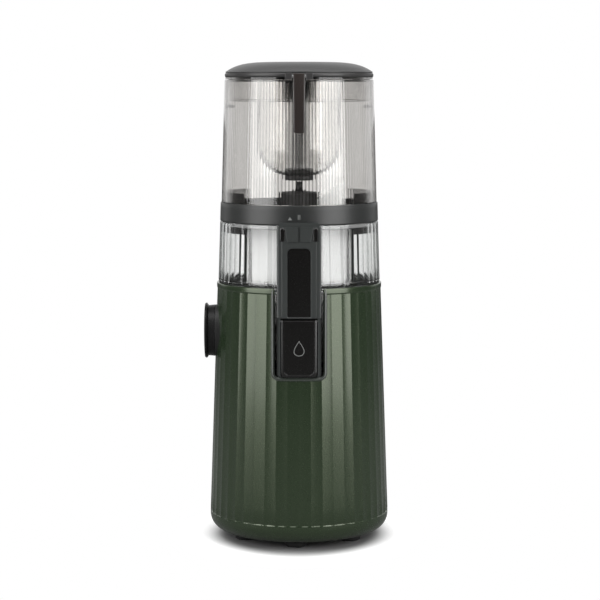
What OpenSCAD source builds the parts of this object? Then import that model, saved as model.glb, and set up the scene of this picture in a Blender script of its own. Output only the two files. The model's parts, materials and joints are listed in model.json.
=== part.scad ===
// Upright cold press juicer: motor housing, juicing bowl, hopper and lid, piece by piece.
// Millimetres. The screw axis is Z, the floor is z = 0, the juice spout faces -Y, the knob -X.

/* [Height of each storey] */
// Height of the rubber feet below the housing
foot_h = 6.5; // [5:0.5:8]
// Height of the motor housing, underside to rim
body_h = 237.5; // [234:0.5:250]
// Depth of the well in the housing, rim to deck
well_d = 78; // [76:0.5:82]
// Height of the bowl that shows above the housing rim
bowl_h = 58; // [54:1:66]
// Height of the black collar under the hopper
ring_h = 17.7; // [16:0.1:22]
// Height of the clear hopper wall
hopper_h = 115; // [110:1:125]
// Height of the straight rim of the lid
lid_rim_h = 5.2; // [4:0.2:7]
// Rise of the lid above its rim
lid_rise = 9.4; // [7:0.2:12]

/* [Radii over the flute ridges] */
// Radius of the housing at its rim
body_r_top = 77.6; // [77.2:0.1:78.4]
// Taper of the housing, foot to rim
body_taper = 7.8; // [7:0.1:9]
// Step in from the housing rim to the bowl
bowl_in = 0.7; // [0.4:0.1:1]
// Taper of the bowl, rim to collar
bowl_taper = 1.9; // [1:0.1:2.2]
// Taper of the collar
ring_taper = 0.5; // [0.2:0.1:0.8]
// Step in from the collar to the hopper
hopper_in = 0.9; // [0.5:0.1:1.1]
// Taper of the hopper, foot to mouth
hopper_taper = 3.3; // [2.8:0.1:3.8]
// Step in from the hopper mouth to the lid
lid_in = 0.2; // [0:0.1:0.5]

/* [Flutes and walls] */
// Number of upright flutes around the part
flutes = 48; // [36:12:72]
// Depth of a flute below its ridges
flute_d = 0.38; // [0.2:0.02:0.6]
// Wall of the motor housing
body_t = 3.2; // [2.8:0.1:3.4]
// Wall of the bowl
bowl_t = 2.6; // [2.2:0.1:2.8]
// Wall of the hopper
hopper_t = 2.6; // [2.2:0.1:2.8]
// Height of the rounded foot of the housing
foot_round_h = 17; // [15:0.5:20]
// Radius of the rounding at the foot of the housing
foot_round_r = 14.5; // [12:0.5:14.5]
// Step in from the flutes to the rounded foot
foot_step = 0.8; // [0.5:0.1:1.2]

/* [Front notch and spout] */
// Half width of the notch in front of the housing
notch_w = 22.4; // [22:0.1:23.5]
// Depth of the notch below the rim
notch_d = 81.5; // [80.5:0.1:83]
// Corner radius at the bottom of the notch
notch_r = 4; // [3:0.5:5]
// Width of the raised lip around the notch
lip_w = 3.5; // [2.5:0.1:4.5]
// How far the lip stands out from the flutes
lip_proud = 0.7; // [0.4:0.1:1]
// Height of the plain band around the rim
rim_band_h = 5.5; // [4:0.5:7]
// Half width of the spout frame
frame_w = 18.8; // [18.4:0.1:19.4]
// Thickness of the front plate of the spout frame
frame_t = 8; // [7:0.5:9]
// How far the spout frame stands out from the flutes
frame_proud = 2.8; // [2.4:0.1:4]
// Half width of the recessed panel
panel_w = 10.9; // [9:0.1:12]
// Depth of the recessed panel
panel_d = 1.6; // [1:0.1:2.4]
// Half width of the juice duct
duct_w = 12.5; // [11:0.5:13]
// Height of the juice duct
duct_h = 36; // [30:1:38]
// Wall of the juice and pulp ducts
duct_t = 2.2; // [1.8:0.1:2.6]
// Height of the juice cap
cap_h = 54.1; // [52:0.1:55]
// Thickness of the juice cap
cap_t = 3.6; // [3:0.1:4]
// Radius of the hinge pins of both caps
cap_pin_r = 1; // [0.8:0.1:1.1]

/* [Pulp outlet] */
// Half width of the notch at the back of the housing
rear_w = 18.4; // [18:0.1:19.4]
// Half width of the pulp spout plate
pulp_w = 15.5; // [15:0.1:16]
// Half width of the pulp duct
pulp_duct_w = 11; // [10:0.5:12]
// Height of the pulp duct
pulp_duct_h = 14; // [12:0.5:15]

/* [Juicing bowl] */
// Step in from the housing rim to the narrow part of the bowl
cup_step = 19.6; // [19.2:0.1:21]
// Thickness of the bowl floor
floor_t = 3; // [2.5:0.1:3.5]
// Height of the foot ring under the bowl
bowl_foot_h = 2; // [1.6:0.1:2.6]
// Radius of the seal bore in the bowl floor
seal_r = 13; // [12:0.5:14]

/* [Strainer and screw] */
// Room for juice around the foot of the strainer
juice_gap = 9; // [8.4:0.2:10.4]
// Widening of the strainer, foot to top
strainer_taper = 3.6; // [2.6:0.2:4.6]
// Wall of the strainer frame
strainer_t = 1.6; // [1.4:0.1:2]
// Thickness of the strainer screen
screen_t = 0.8; // [0.6:0.1:1]
// Number of slots in the screen
slots = 48; // [36:6:60]
// Width of a slot
slot_w = 1.2; // [0.8:0.1:1.6]
// Number of upright ribs of the strainer frame
strainer_ribs = 8; // [6:1:10]
// Space from the screw core to the outside of the strainer, at the foot
thread_low = 9.4; // [8.4:0.2:12.4]
// Space from the screw core to the outside of the strainer, at the top
thread_top = 30; // [26:0.5:32]
// Number of flights on the screw
flights = 2; // [2:1:3]
// Turns of one flight
flight_turns = 1.6; // [1.2:0.1:1.8]
// Thickness of a flight at its edge
flight_tip = 2.4; // [2:0.2:3]
// Step in from the top of the strainer to the crown under the cutting wing
crown_in = 4.5; // [4:0.5:7]
// Radius of the screw's top pivot
pivot_r = 2.8; // [2.4:0.1:3.2]

/* [Drive] */
// Least room between the gearbox and the housing wall
gbox_room = 4; // [3:0.1:5]
// Teeth of both pinions
pinion_n = 12; // [12:1:13]
// Teeth of both wheels
wheel_n = 48; // [46:1:48]
// Width of the first pair of gears
gear1_t = 9; // [7:0.5:10]
// Width of the second pair of gears
gear2_t = 13; // [11:0.5:14]
// Play left out of each tooth
tooth_play = 0.3; // [0.2:0.02:0.36]
// Height of the gearbox housing
gbox_h = 46; // [44:0.5:48]
// Wall and floor of the gearbox housing
gbox_t = 3; // [2.5:0.1:3.2]
// Radius of the drive shaft
drive_r = 6; // [5.5:0.1:6.2]
// Width across the flats of the drive hexagon
hex_af = 11; // [10:0.2:11.4]
// Outer radius of the motor
motor_r = 42; // [39:0.5:44]
// Height of the motor above the base plate
motor_up = 13.5; // [13:0.5:16]
// Height of each motor end cap
end_cap_h = 20; // [18:0.5:20.5]
// Radius of the rotor
rotor_r = 24.5; // [22:0.5:25.5]
// Radius of the motor shaft
motor_shaft_r = 4; // [3.5:0.1:4.5]
// Radius of the cooling fan
fan_r = 27; // [24:0.5:28]
// Number of fan blades
fan_blades = 9; // [7:1:11]

/* [Power knob] */
// Radius of the knob over its flared rim
knob_r = 26.3; // [25.8:0.1:27.5]
// Height of the knob above its plinth
knob_h = 9.6; // [8:0.1:12]
// Height of the knob axis above the deck
knob_up = 30.8; // [29:0.1:32]
// Radius of the plinth behind the knob
plinth_r = 24.6; // [23:0.1:25.2]
// Radius of the knob shaft
knob_shaft_r = 3; // [2.5:0.1:3.5]

/* [Hopper and lid] */
// Rise of the sloped shelves in the hopper floor, at the wall
floor_rise = 10; // [8:0.5:13]
// Step in from the opening in the hopper floor to the guard cup under the lid
guard_in = 10.7; // [10:0.1:13]
// Depth of the guard cup below the hopper mouth
guard_d = 90.1; // [86:0.1:91]
// Corner radius of the guard cup
guard_round = 28; // [26:0.5:28]
// Wall of the guard cup
guard_t = 2; // [1.6:0.1:2.4]
// Radius of the hub under the guard cup
hub_r = 14.2; // [13:0.1:15]
// Radius of the post inside the guard cup
post_r = 4.9; // [4.4:0.1:5.5]
// Depth of the lid skirt inside the hopper
skirt_d = 20; // [16:0.5:22]
// Half width of the latch
latch_w = 5.6; // [5:0.1:6]
// Length of the latch below the hopper mouth
latch_l = 49; // [44:0.5:52]
// Radius of the lid hinge pin
hinge_pin_r = 1.5; // [1.2:0.1:1.8]

/* [Base] */
// Thickness of the base plate
plate_t = 3; // [2.6:0.1:3.4]
// Radius of the base plate
plate_r = 69.2; // [68.6:0.1:69.6]
// Number of feet, and of the screws between them
feet = 6; // [5:1:6]
// Radius of a foot
foot_r = 10; // [8:0.5:10]
// Radius of the circle of feet
foot_circle = 57; // [55:0.5:57]
// Radius of the cord inlet bore
inlet_r = 4.2; // [3.4:0.1:4.6]

/* [Clearances] */
// Gap between pieces that move past each other
gap = 0.3; // [0.25:0.05:0.4]
// Clearance of a shaft in its bore
fit = 0.06; // [0.03:0.01:0.08]
// Clearance between fixed pieces that nest
nest = 0.1; // [0.05:0.01:0.15]

/* [Hidden] */
$fn = 96;
cut = 1; // how far a cutting shape runs past what it cuts

// ---- heights ----
z_under = foot_h;
z_plate = z_under + plate_t;
ledge_t = 4;
z_ledge = z_plate + ledge_t;
z_flute = z_under + foot_round_h;
z_rim = z_under + body_h;
z_deck = z_rim - well_d;
deck_t = 3;
z_deck_low = z_deck - deck_t;
flange_t = 3;
z_flange = z_rim - 7;
z_bowl = z_rim + bowl_h;
z_ring = z_bowl + gap + ring_h;
z_mouth = z_ring + hopper_h;
lid_seat = 2;
z_lid = z_mouth + lid_seat;
z_lid_rim = z_lid + lid_rim_h;

// drive stack, hung under the deck
post_h = 14;
glid_t = 4;
z_glid = z_deck_low - post_h;
z_gbox_top = z_glid - glid_t;
z_gbox = z_gbox_top - gbox_h;
z_gear1 = z_gbox + gbox_t + 2;
z_gear1_top = z_gear1 + gear1_t;
z_gear2 = z_gear1_top + 3;
z_gear2_top = z_gear2 + gear2_t;
z_stator_top = z_gbox - end_cap_h;
z_motor = z_plate + motor_up;
z_stator = z_motor + end_cap_h;
fan_h = 8;
fan_disc_t = 1.6;
fan_blade_t = 1.4;
fan_hub_r = 9;
fan_sweep = 20;
z_fan = z_motor - 2 - fan_h;

// bowl, strainer and screw
z_cup = z_deck + bowl_foot_h;
z_floor = z_cup + floor_t;
z_step = z_flange + 1;
step_t = 3;
gasket_t = 1;
z_shoulder = z_rim + gap + gasket_t;
z_strainer_top = z_bowl - 2;
strainer_foot_h = 16;
strainer_head_h = 50;
z_screw = z_floor + gap;
z_screw_top = z_bowl + 2;
hub_down = 4.6;
z_guard = z_mouth - guard_d;
z_pivot = z_guard - hub_down - gap;

// ---- radii ----
body_r_low = body_r_top + body_taper;
bowl_r_low = body_r_top - bowl_in;
bowl_r_top = bowl_r_low - bowl_taper;
ring_r_low = bowl_r_top;
ring_r_top = ring_r_low - ring_taper;
hopper_r_low = ring_r_top - hopper_in;
hopper_r_top = hopper_r_low - hopper_taper;
lid_r = hopper_r_top - lid_in;
cup_r = body_r_top - cup_step;
cup_in_r = cup_r - bowl_t;
strainer_r_low = cup_in_r - juice_gap;
strainer_r_top = strainer_r_low + strainer_taper;
core_r_low = strainer_r_low - thread_low;
core_r_top = strainer_r_top - thread_top;
crown_r = strainer_r_top - crown_in;
feed_r = strainer_r_top;
guard_r = feed_r - guard_in;
function mix(a, b, t) = a + (b - a) * t;
function body_r(z) = mix(body_r_low, body_r_top, (z - z_flute) / (z_rim - z_flute));
function bowl_r(z) = mix(bowl_r_low, bowl_r_top, (z - z_rim) / bowl_h);
function hopper_r(z) = mix(hopper_r_low, hopper_r_top, (z - z_ring) / hopper_h);
function strainer_r(z) =
    mix(strainer_r_low, strainer_r_top, (z - z_floor) / (z_strainer_top - z_floor));
well_r = cup_r + 1.5;
well_t = 2;
well_out_r = well_r + well_t;
step_r = body_r_top - body_t - 0.6;
flange_r = step_r + nest;
ring_in_r = hopper_r_low - hopper_t - 1.5;
spigot_r = bowl_r_top - bowl_t - 0.8;

// ---- shared outlines and shapes ----
function arc(x, y, r, a0, a1, n = 6) =
    [for (i = [0 : n]) [x + r * cos(mix(a0, a1, i / n)), y + r * sin(mix(a0, a1, i / n))]];
// A U with an open top, rounded at its two lower corners
function u_outline(w, low, top, r) = concat(
    [[w, top], [-w, top]],
    arc(r - w, low + r, r, 180, 270),
    arc(w - r, low + r, r, 270, 360));
// A rectangle with its two upper corners rounded by r1 and the lower ones by r2
function plate_outline(w, low, top, r1, r2) = concat(
    arc(w - r1, top - r1, r1, 0, 90),
    arc(r1 - w, top - r1, r1, 90, 180),
    arc(r2 - w, low + r2, r2, 180, 270),
    arc(w - r2, low + r2, r2, 270, 360));

// An outline in X and Z, drawn forward from y = -y0 by d
module front_prism(points, y0, d)
    translate([0, -y0, 0]) rotate([90, 0, 0]) linear_extrude(height = d) polygon(points);
module tube(r_out, r_in, z0, z1)
    translate([0, 0, z0]) difference() {
        cylinder(r = r_out, h = z1 - z0);
        translate([0, 0, -cut]) cylinder(r = r_in, h = z1 - z0 + 2 * cut);
    }
module rod(r, z0, z1) translate([0, 0, z0]) cylinder(r = r, h = z1 - z0);
module cone(r0, r1, z0, z1) translate([0, 0, z0]) cylinder(r1 = r0, r2 = r1, h = z1 - z0);
// A rod along X from x0 to x1
module cross_rod(r, x0, x1, y, z)
    translate([x0, y, z]) rotate([0, 90, 0]) cylinder(r = r, h = x1 - x0);
module ring_of(n, r, a0 = 0)
    for (i = [0 : n - 1]) rotate(a0 + 360 * i / n) translate([r, 0, 0]) children();
module box(x0, x1, y0, y1, z0, z1)
    translate([x0, y0, z0]) cube([x1 - x0, y1 - y0, z1 - z0]);

// Round section with shallow concave flutes; one ridge lies on the front centre line
flute_steps = 4;
module flute_section(r)
    polygon([for (i = [0 : flutes * flute_steps - 1])
        let (u = i / flute_steps - floor(i / flute_steps),
             a = 360 * i / (flutes * flute_steps) - 90,
             rr = r - 4 * flute_d * u * (1 - u))
        [rr * cos(a), rr * sin(a)]]);
module fluted_frustum(r0, r1, z0, z1)
    translate([0, 0, z0])
        linear_extrude(height = z1 - z0, scale = r1 / r0) flute_section(r0);

// ---- motor housing ----
foot_rim_r = body_r_low - foot_step;
boss_circle = plate_r - 3.4;
boss_r = 4.5;
screw_r = 1.5;
z_boss = z_ledge + 11;
z_notch = z_rim - notch_d;
notch_y = body_r_top / 2;
foot_turn = -93;

// The hollow: tapered wall above, a thicker turn at the foot
module body_hollow()
    rotate_extrude($fn = 2 * $fn) polygon([
        [0, z_ledge], [foot_rim_r - 9, z_ledge], [body_r(z_flute) - body_t, z_flute],
        [body_r(z_rim + cut) - body_t, z_rim + cut], [0, z_rim + cut]]);
// Plain band that ends the flutes at the rim
band_r = body_r_top + lip_proud / 2;
module rim_band() rotate_extrude() polygon([
    [band_r - 3, z_rim - rim_band_h], [band_r - 1.5, z_rim - rim_band_h],
    [band_r, z_rim - rim_band_h + 1.5], [band_r, z_rim], [band_r - 3, z_rim]]);
// Raised lip that runs around a notch, on the outside of the housing
module notch_lip(w) {
    z_top = z_rim;
    intersection() {
        difference() {
            cone(body_r(z_notch - 12) + lip_proud, body_r_top + lip_proud, z_notch - 12, z_top);
            cone(body_r(z_notch - 12) - body_t / 2, body_r_top - body_t / 2,
                 z_notch - 12 - 0.001, z_top + 0.001);
        }
        difference() {
            front_prism(u_outline(w + lip_w, z_notch - lip_w, z_top, notch_r + lip_w), notch_y, body_r_low);
            front_prism(u_outline(w, z_notch, z_top + cut, notch_r), notch_y - cut, body_r_low + 2 * cut);
        }
    }
}
module notch_cut(w) front_prism(u_outline(w, z_notch, z_rim + cut, notch_r), notch_y, body_r_low);
module knob_axis() translate([0, 0, z_deck + knob_up]) rotate([0, -90, 0]) children();

// Ledge that carries the flange of the well, open where the walls of both channels pass
ledge_in = 2.6;
ledge_h = 5;
z_seat = z_flange - flange_t;
module well_ledge() difference() {
    rotate_extrude() polygon([
        [flange_r - ledge_in, z_seat - ledge_h + 2], [flange_r + 2, z_seat - ledge_h],
        [flange_r + 2, z_seat], [flange_r - ledge_in, z_seat]]);
    box(-notch_w - channel_t - gap, notch_w + channel_t + gap, -body_r_low, 0,
        z_seat - ledge_h - cut, z_seat + cut);
    box(-rear_w - channel_t - gap, rear_w + channel_t + gap, 0, body_r_low,
        z_seat - ledge_h - cut, z_seat + cut);
}

module body_shell() color([0.27, 0.33, 0.26]) difference() {
    union() {
        difference() {
            union() {
                fluted_frustum(body_r_low, body_r_top, z_flute, z_rim);
                rim_band();
                notch_lip(notch_w);
                mirror([0, 1, 0]) notch_lip(rear_w);
            }
            body_hollow();
        }
        well_ledge();
    }
    notch_cut(notch_w);
    mirror([0, 1, 0]) notch_cut(rear_w);
    knob_axis() translate([0, 0, cup_r]) cylinder(r = plinth_r + nest, h = body_r_low);
    translate([0, cup_r, z_gland]) rotate([-90, 0, 0]) cylinder(r = gland_r, h = body_r_low);
}
// Rounded foot under the flutes, with a lip inside the housing and bosses for the base screws
joint_lip_h = 2.5;
joint_lip_t = 1.6;
joint_lip_r = body_r(z_flute + joint_lip_h) - body_t - nest;
module body_foot() color([0.25, 0.31, 0.24]) difference() {
    union() {
        difference() {
            rotate_extrude() polygon(concat(
                [[0, z_under]],
                arc(foot_rim_r - foot_round_r, z_under + foot_round_r, foot_round_r, -90, 0, 10),
                [[foot_rim_r, z_flute], [0, z_flute]]));
            body_hollow();
            rod(plate_r + nest, z_under - cut, z_plate);
            rod(plate_r - 8, z_plate - cut, z_ledge + cut);
        }
        tube(joint_lip_r, joint_lip_r - joint_lip_t, z_flute - joint_lip_h, z_flute + joint_lip_h);
        ring_of(feet, boss_circle, foot_turn + 180 / feet) rod(boss_r, z_ledge - cut, z_boss);
    }
    ring_of(feet, boss_circle, foot_turn + 180 / feet) rod(screw_r + nest, z_plate - cut, z_boss - 2);
}

// ---- base ----
foot_stem_r = 4;
foot_edge = 1.2;
stem_root = 0.5;
head_r = 3;
head_h = 2;
slot_half = 0.4;
slot_h = 0.8;
vents = 24;
vent_in = 20;
vent_out = 44;
vent_w = 2;
board_x = 52.5;
board_w = 50;
board_h = 44;
board_t = 1.6;
rail_t = 2;
rail_w = 3;
rail_in = 6;
rail_up = 4;
z_board = z_plate + rail_up;

module board_rail(y) difference() {
    box(board_x - rail_t, board_x + board_t + rail_t, y - rail_w, y + rail_w, z_plate, z_board + rail_up);
    box(board_x - nest, board_x + board_t + nest, y - rail_w - cut, y + rail_w + cut,
        z_board, z_board + rail_up + cut);
}
module base_plate() color([0.1, 0.1, 0.1]) {
    difference() {
        rod(plate_r, z_under, z_plate);
        ring_of(feet, foot_circle, foot_turn) rod(foot_stem_r + nest, z_under - cut, z_plate + cut);
        ring_of(feet, boss_circle, foot_turn + 180 / feet) {
            rod(screw_r + 2 * nest, z_under - cut, z_plate + cut);
            rod(head_r + 2 * nest, z_under - cut, z_under + head_h);
        }
        ring_of(vents, vent_in, 360 / vents / 2)
            box(0, vent_out - vent_in, -vent_w / 2, vent_w / 2, z_under - cut, z_plate + cut);
    }
    board_rail(-board_w / 2 + rail_in);
    board_rail(board_w / 2 - rail_in);
}
module rubber_feet() color([0.06, 0.06, 0.06])
    ring_of(feet, foot_circle, foot_turn) {
        cone(foot_r - foot_edge, foot_r, 0, foot_edge);
        rod(foot_r, foot_edge, z_under);
        rod(foot_stem_r, z_under - stem_root, z_plate);
    }
module base_screws() color("silver")
    ring_of(feet, boss_circle, foot_turn + 180 / feet) {
        rod(screw_r, z_under, z_boss - 3);
        difference() {
            rod(head_r, z_under, z_under + head_h);
            box(-head_r, head_r, -slot_half, slot_half, z_under - cut, z_under + slot_h);
        }
    }

// ---- deck and well ----
post_base_r = 5;
channel_t = 2;
deck_hole_r = 11;
// Two posts beside the output axis and two beside the idler, just clear of the gearbox wall
module deck_posts() for (s = [0, 1]) mirror([s, 0, 0]) {
    rotate(post_turn) translate([post_circle, 0, 0]) children();
    at_idler() rotate(idler_post_turn) translate([post_circle, 0, 0]) children();
}
// Walls that join the well to a notch, so the works stay closed off
module channel_walls(w) intersection() {
    difference() {
        box(-w - channel_t, w + channel_t, -body_r_low, -well_r, z_deck_low, z_flange);
        box(-w, w, -body_r_low - cut, -well_r + cut, z_deck, z_flange + cut);
    }
    cone(body_r(z_deck_low) - body_t - gap, body_r(z_flange) - body_t - gap, z_deck_low, z_flange);
}
module well_liner() color([0.12, 0.13, 0.12]) difference() {
    union() {
        difference() {
            union() {
                rod(well_out_r, z_deck_low, z_flange);
                rod(flange_r, z_flange - flange_t, z_flange);
                channel_walls(notch_w);
                mirror([0, 1, 0]) channel_walls(rear_w);
            }
            rod(well_r, z_deck, z_flange + cut);
        }
        deck_posts() rod(post_base_r, z_glid, z_deck_low + cut);
    }
    box(-notch_w, notch_w, -body_r_low, 0, z_deck, z_flange + cut);
    box(-rear_w, rear_w, 0, body_r_low, z_deck, z_flange + cut);
    front_tilt() box(-frame_w - flange_out - gap, frame_w + flange_out + gap, -cut, frame_t + 3 * gap,
                     -notch_r, notch_r);
    rear_tilt() box(-pulp_w - gap, pulp_w + gap, -cut, frame_t + 2 * gap, -notch_r, notch_r);
    rod(deck_hole_r, z_deck_low - cut, z_deck + cut);
    deck_posts() rod(screw_r + nest, z_glid - cut, z_glid + post_h - 4);
}

// ---- motor ----
end_t = 2.5;
motor_bearing_r = 8;
motor_boss_h = 7;
coil_h = 7;
stator_in_r = rotor_r + 1;
damper_circle = motor_r - 6;
damper_r = 5;
module end_cap() difference() {
    union() {
        difference() {
            rod(motor_r, 0, end_cap_h);
            rod(motor_r - end_t, end_t, end_cap_h + cut);
        }
        rod(motor_bearing_r + 3, 0, motor_boss_h);
    }
    rod(motor_bearing_r + nest / 2, end_t - 1, motor_boss_h + cut);
    rod(motor_shaft_r + 1, -cut, end_t);
    ring_of(6, motor_r - 13)
        rod(5, -cut, end_t + cut);
}
module motor_lower_cap() color("silver") translate([0, 0, z_motor]) end_cap();
module motor_upper_cap() color("silver")
    translate([0, 0, z_gbox]) mirror([0, 0, 1]) end_cap();
module motor_bearings() color("lightsteelblue")
    for (z = [z_motor + end_t - 1, z_gbox - motor_boss_h])
        tube(motor_bearing_r, motor_shaft_r + fit, z, z + motor_boss_h - end_t + 1);
module motor_stator() color("slategray") tube(motor_r, stator_in_r, z_stator, z_stator_top);
module motor_windings() color("peru") {
    tube(motor_r - 5, stator_in_r + 1.5, z_stator - coil_h, z_stator);
    tube(motor_r - 5, stator_in_r + 1.5, z_stator_top, z_stator_top + coil_h);
}
module motor_dampers() color([0.1, 0.1, 0.1])
    ring_of(3, damper_circle, 30) {
        rod(damper_r, z_plate, z_plate + 4);
        rod(damper_r - 1, z_plate + 4, z_motor - 4);
        rod(damper_r, z_motor - 4, z_motor);
    }
module motor_shaft() color("gainsboro") {
    rod(motor_shaft_r, z_fan - 1, z_gear1 - 0.5);
    translate([0, 0, z_gear1 - 0.5]) gear(pinion_n, gear1_t + 1, 0);
}
module motor_rotor() color("dimgray") tube(rotor_r, motor_shaft_r, z_stator + 1, z_stator_top - 1);
module cooling_fan() color([0.85, 0.85, 0.82]) {
    rotate_extrude() polygon([
        [motor_shaft_r, z_fan], [fan_hub_r, z_fan], [fan_hub_r, z_fan + fan_h - fan_disc_t],
        [fan_r, z_fan + fan_h - fan_disc_t], [fan_r, z_fan + fan_h], [motor_shaft_r, z_fan + fan_h]]);
    ring_of(fan_blades, fan_hub_r - 1) rotate(fan_sweep)
        box(0, fan_r - fan_hub_r - 1, -fan_blade_t / 2, fan_blade_t / 2,
            z_fan + 0.5, z_fan + fan_h - fan_disc_t / 2);
}

// ---- gears ----
pressure = 25;
tooth_top = 0.88;
tooth_root = 1.28;
// Module of the gears: the largest, to two decimals, that leaves the gearbox its room in the housing
gbox_side = gbox_t + 1.8;
gbox_reach = body_r(z_glid) - body_t - gbox_room - gbox_side;
gear_m = floor(100 * gbox_reach / ((pinion_n + wheel_n) / 2 + wheel_n / 2 + tooth_top)) / 100;
centre_d = gear_m * (pinion_n + wheel_n) / 2;
wheel_tip_r = gear_m * (wheel_n / 2 + tooth_top);
flank_steps = 4;
function roll(r, base) = let (a = acos(min(1, base / max(r, base)))) tan(a) * 180 / PI - a;
// Half the angle of a tooth at radius r, for involute flanks
function tooth_half(n, r) =
    let (pitch = gear_m * n / 2, base = pitch * cos(pressure))
    90 / n - tooth_play / pitch * 90 / PI + roll(pitch, base) - roll(r, base);
function tooth_radius(n, i) =
    mix(gear_m * (n / 2 - tooth_root), gear_m * (n / 2 + tooth_top), i / flank_steps);
// A spur gear; turn points one tooth that way
module gear(n, t, turn)
    linear_extrude(height = t) polygon([for (k = [0 : n - 1]) for (s = [-1, 1])
        for (i = [0 : flank_steps])
            let (r = tooth_radius(n, s < 0 ? i : flank_steps - i),
                 a = turn + 360 * k / n + s * tooth_half(n, r))
            [r * cos(a), r * sin(a)]]);

idler_pin_r = 4;
idler_hub_r = 6.5;
module at_idler() translate([0, centre_d, 0]) children();
// The wheel of the idler leaves a gap for the tooth that the motor pinion points at it
module idler_gear() color("ivory") at_idler() difference() {
    union() {
        translate([0, 0, z_gear1]) gear(wheel_n, gear1_t, -90 + 180 / wheel_n);
        translate([0, 0, z_gear1_top]) gear(pinion_n, z_gear2_top + 1 - z_gear1_top, -90);
    }
    rod(idler_pin_r + fit, z_gear1 - cut, z_gear2_top + 2 * cut);
}
module output_gear() color("ivory") difference() {
    translate([0, 0, z_gear2]) gear(wheel_n, gear2_t, 90 + 180 / wheel_n);
    rod(drive_r + nest / 2, z_gear2 - cut, z_gear2_top + cut);
}
// ---- gearbox ----
gbox_r = wheel_tip_r + gbox_side;
post_circle = gbox_r + head_r + 1;
post_turn = -30;
idler_post_turn = -10;
bearing_r = 13;
bearing_h = 10;
collar_r = 9;
module gbox_outline(r, z0, z1) {
    rod(r, z0, z1);
    at_idler() rod(r, z0, z1);
}
module gearbox_ears(z0, z1) intersection() {
    deck_posts() rod(post_base_r + 1, z0, z1);
    rod(body_r(z_gbox) - body_t - 2, z0, z1);
}
module gearbox_housing() color("darkgray") difference() {
    union() {
        difference() {
            union() {
                gbox_outline(gbox_r, z_gbox, z_gbox_top);
                gearbox_ears(z_gbox_top - 8, z_gbox_top);
            }
            gbox_outline(gbox_r - gbox_t, z_gbox + gbox_t, z_gbox_top + cut);
        }
        at_idler() rod(idler_hub_r, z_gbox, z_gear1 - gap);
    }
    rod(motor_shaft_r + 2, z_gbox - cut, z_gbox + gbox_t + cut);
    at_idler() rod(idler_pin_r, z_gbox + 1, z_gbox_top);
    deck_posts() rod(screw_r + nest, z_gbox_top - 8 - cut, z_gbox_top + cut);
}
module gearbox_lid() color("gray") difference() {
    union() {
        gbox_outline(gbox_r, z_gbox_top, z_glid);
        gearbox_ears(z_gbox_top, z_glid);
        rod(bearing_r + 3, z_glid - bearing_h, z_glid);
        at_idler() rod(idler_hub_r, z_gear2_top + 1 + gap, z_glid);
    }
    rod(bearing_r, z_glid - bearing_h + 1.5, z_glid + cut);
    rod(drive_r + 2, z_glid - bearing_h - cut, z_glid + cut);
    at_idler() rod(idler_pin_r, z_gbox, z_glid - 1);
    deck_posts() rod(screw_r + nest, z_gbox_top - cut, z_glid + cut);
}
module gearbox_screws() color("silver") deck_posts() {
    rod(screw_r, z_gbox_top - 8, z_glid + post_h - 5);
    rod(head_r, z_gbox_top - 8 - head_h, z_gbox_top - 8);
}
module idler_pin() color("gainsboro") at_idler() rod(idler_pin_r, z_gbox + 1, z_glid - 1);
module output_bearing() color("lightsteelblue")
    tube(bearing_r, drive_r + fit, z_glid - bearing_h + 1.5, z_glid);
hex_r = hex_af / sqrt(3);
z_hex = z_glid + 6;
hex_into = 10;
z_hex_top = z_deck + 0.5 + hex_into;
module drive_shaft() color("gainsboro") {
    rod(drive_r, z_gear2, z_hex);
    rod(collar_r, z_gear2_top, z_glid - bearing_h - gap);
    translate([0, 0, z_hex]) cylinder(r = hex_r, h = z_hex_top - z_hex, $fn = 6);
}

// ---- electrics ----
relay_w = 14;
relay_t = 9;
can_r = 6;
can_h = 10;
chip_w = 8;
chip_t = 4;
module control_board() color("darkgreen") {
    box(board_x, board_x + board_t, -board_w / 2, board_w / 2, z_board, z_board + board_h);
    box(board_x - relay_t, board_x, -board_w / 4 - relay_w / 2, -board_w / 4 + relay_w / 2,
        z_board + relay_w, z_board + 2 * relay_w);
    translate([board_x - can_h, board_w / 4, z_board + board_h / 2])
        rotate([0, 90, 0]) cylinder(r = can_r, h = can_h);
    box(board_x - chip_t, board_x, -chip_w / 2, chip_w / 2, z_board + chip_w, z_board + 2 * chip_w);
}
plinth_x = body_r(z_deck + knob_up) + 0.6;
switch_x = well_out_r + 0.8;
switch_d = 7.5;
switch_a = 13;
shaft_in = 5;
knob_back = plinth_x + gap;
knob_face = plinth_x + gap + knob_h;
plinth_t = 3;
module knob_plinth() color([0.07, 0.07, 0.07]) knob_axis() difference() {
    translate([0, 0, switch_x + switch_d]) cylinder(r = plinth_r, h = plinth_x - switch_x - switch_d);
    translate([0, 0, switch_x + switch_d + plinth_t])
        difference() {
            cylinder(r = plinth_r - 3, h = plinth_x - switch_x - switch_d - 2 * plinth_t);
            translate([0, 0, -cut]) cylinder(r = 9, h = plinth_x);
        }
    cylinder(r = knob_shaft_r + fit, h = plinth_x + cut);
}
module switch_body() color([0.2, 0.2, 0.2]) knob_axis() difference() {
    translate([-switch_a, -switch_a, switch_x]) cube([2 * switch_a, 2 * switch_a, switch_d]);
    translate([0, 0, switch_x + shaft_in - gap]) cylinder(r = knob_shaft_r + fit, h = switch_d);
}
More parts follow.
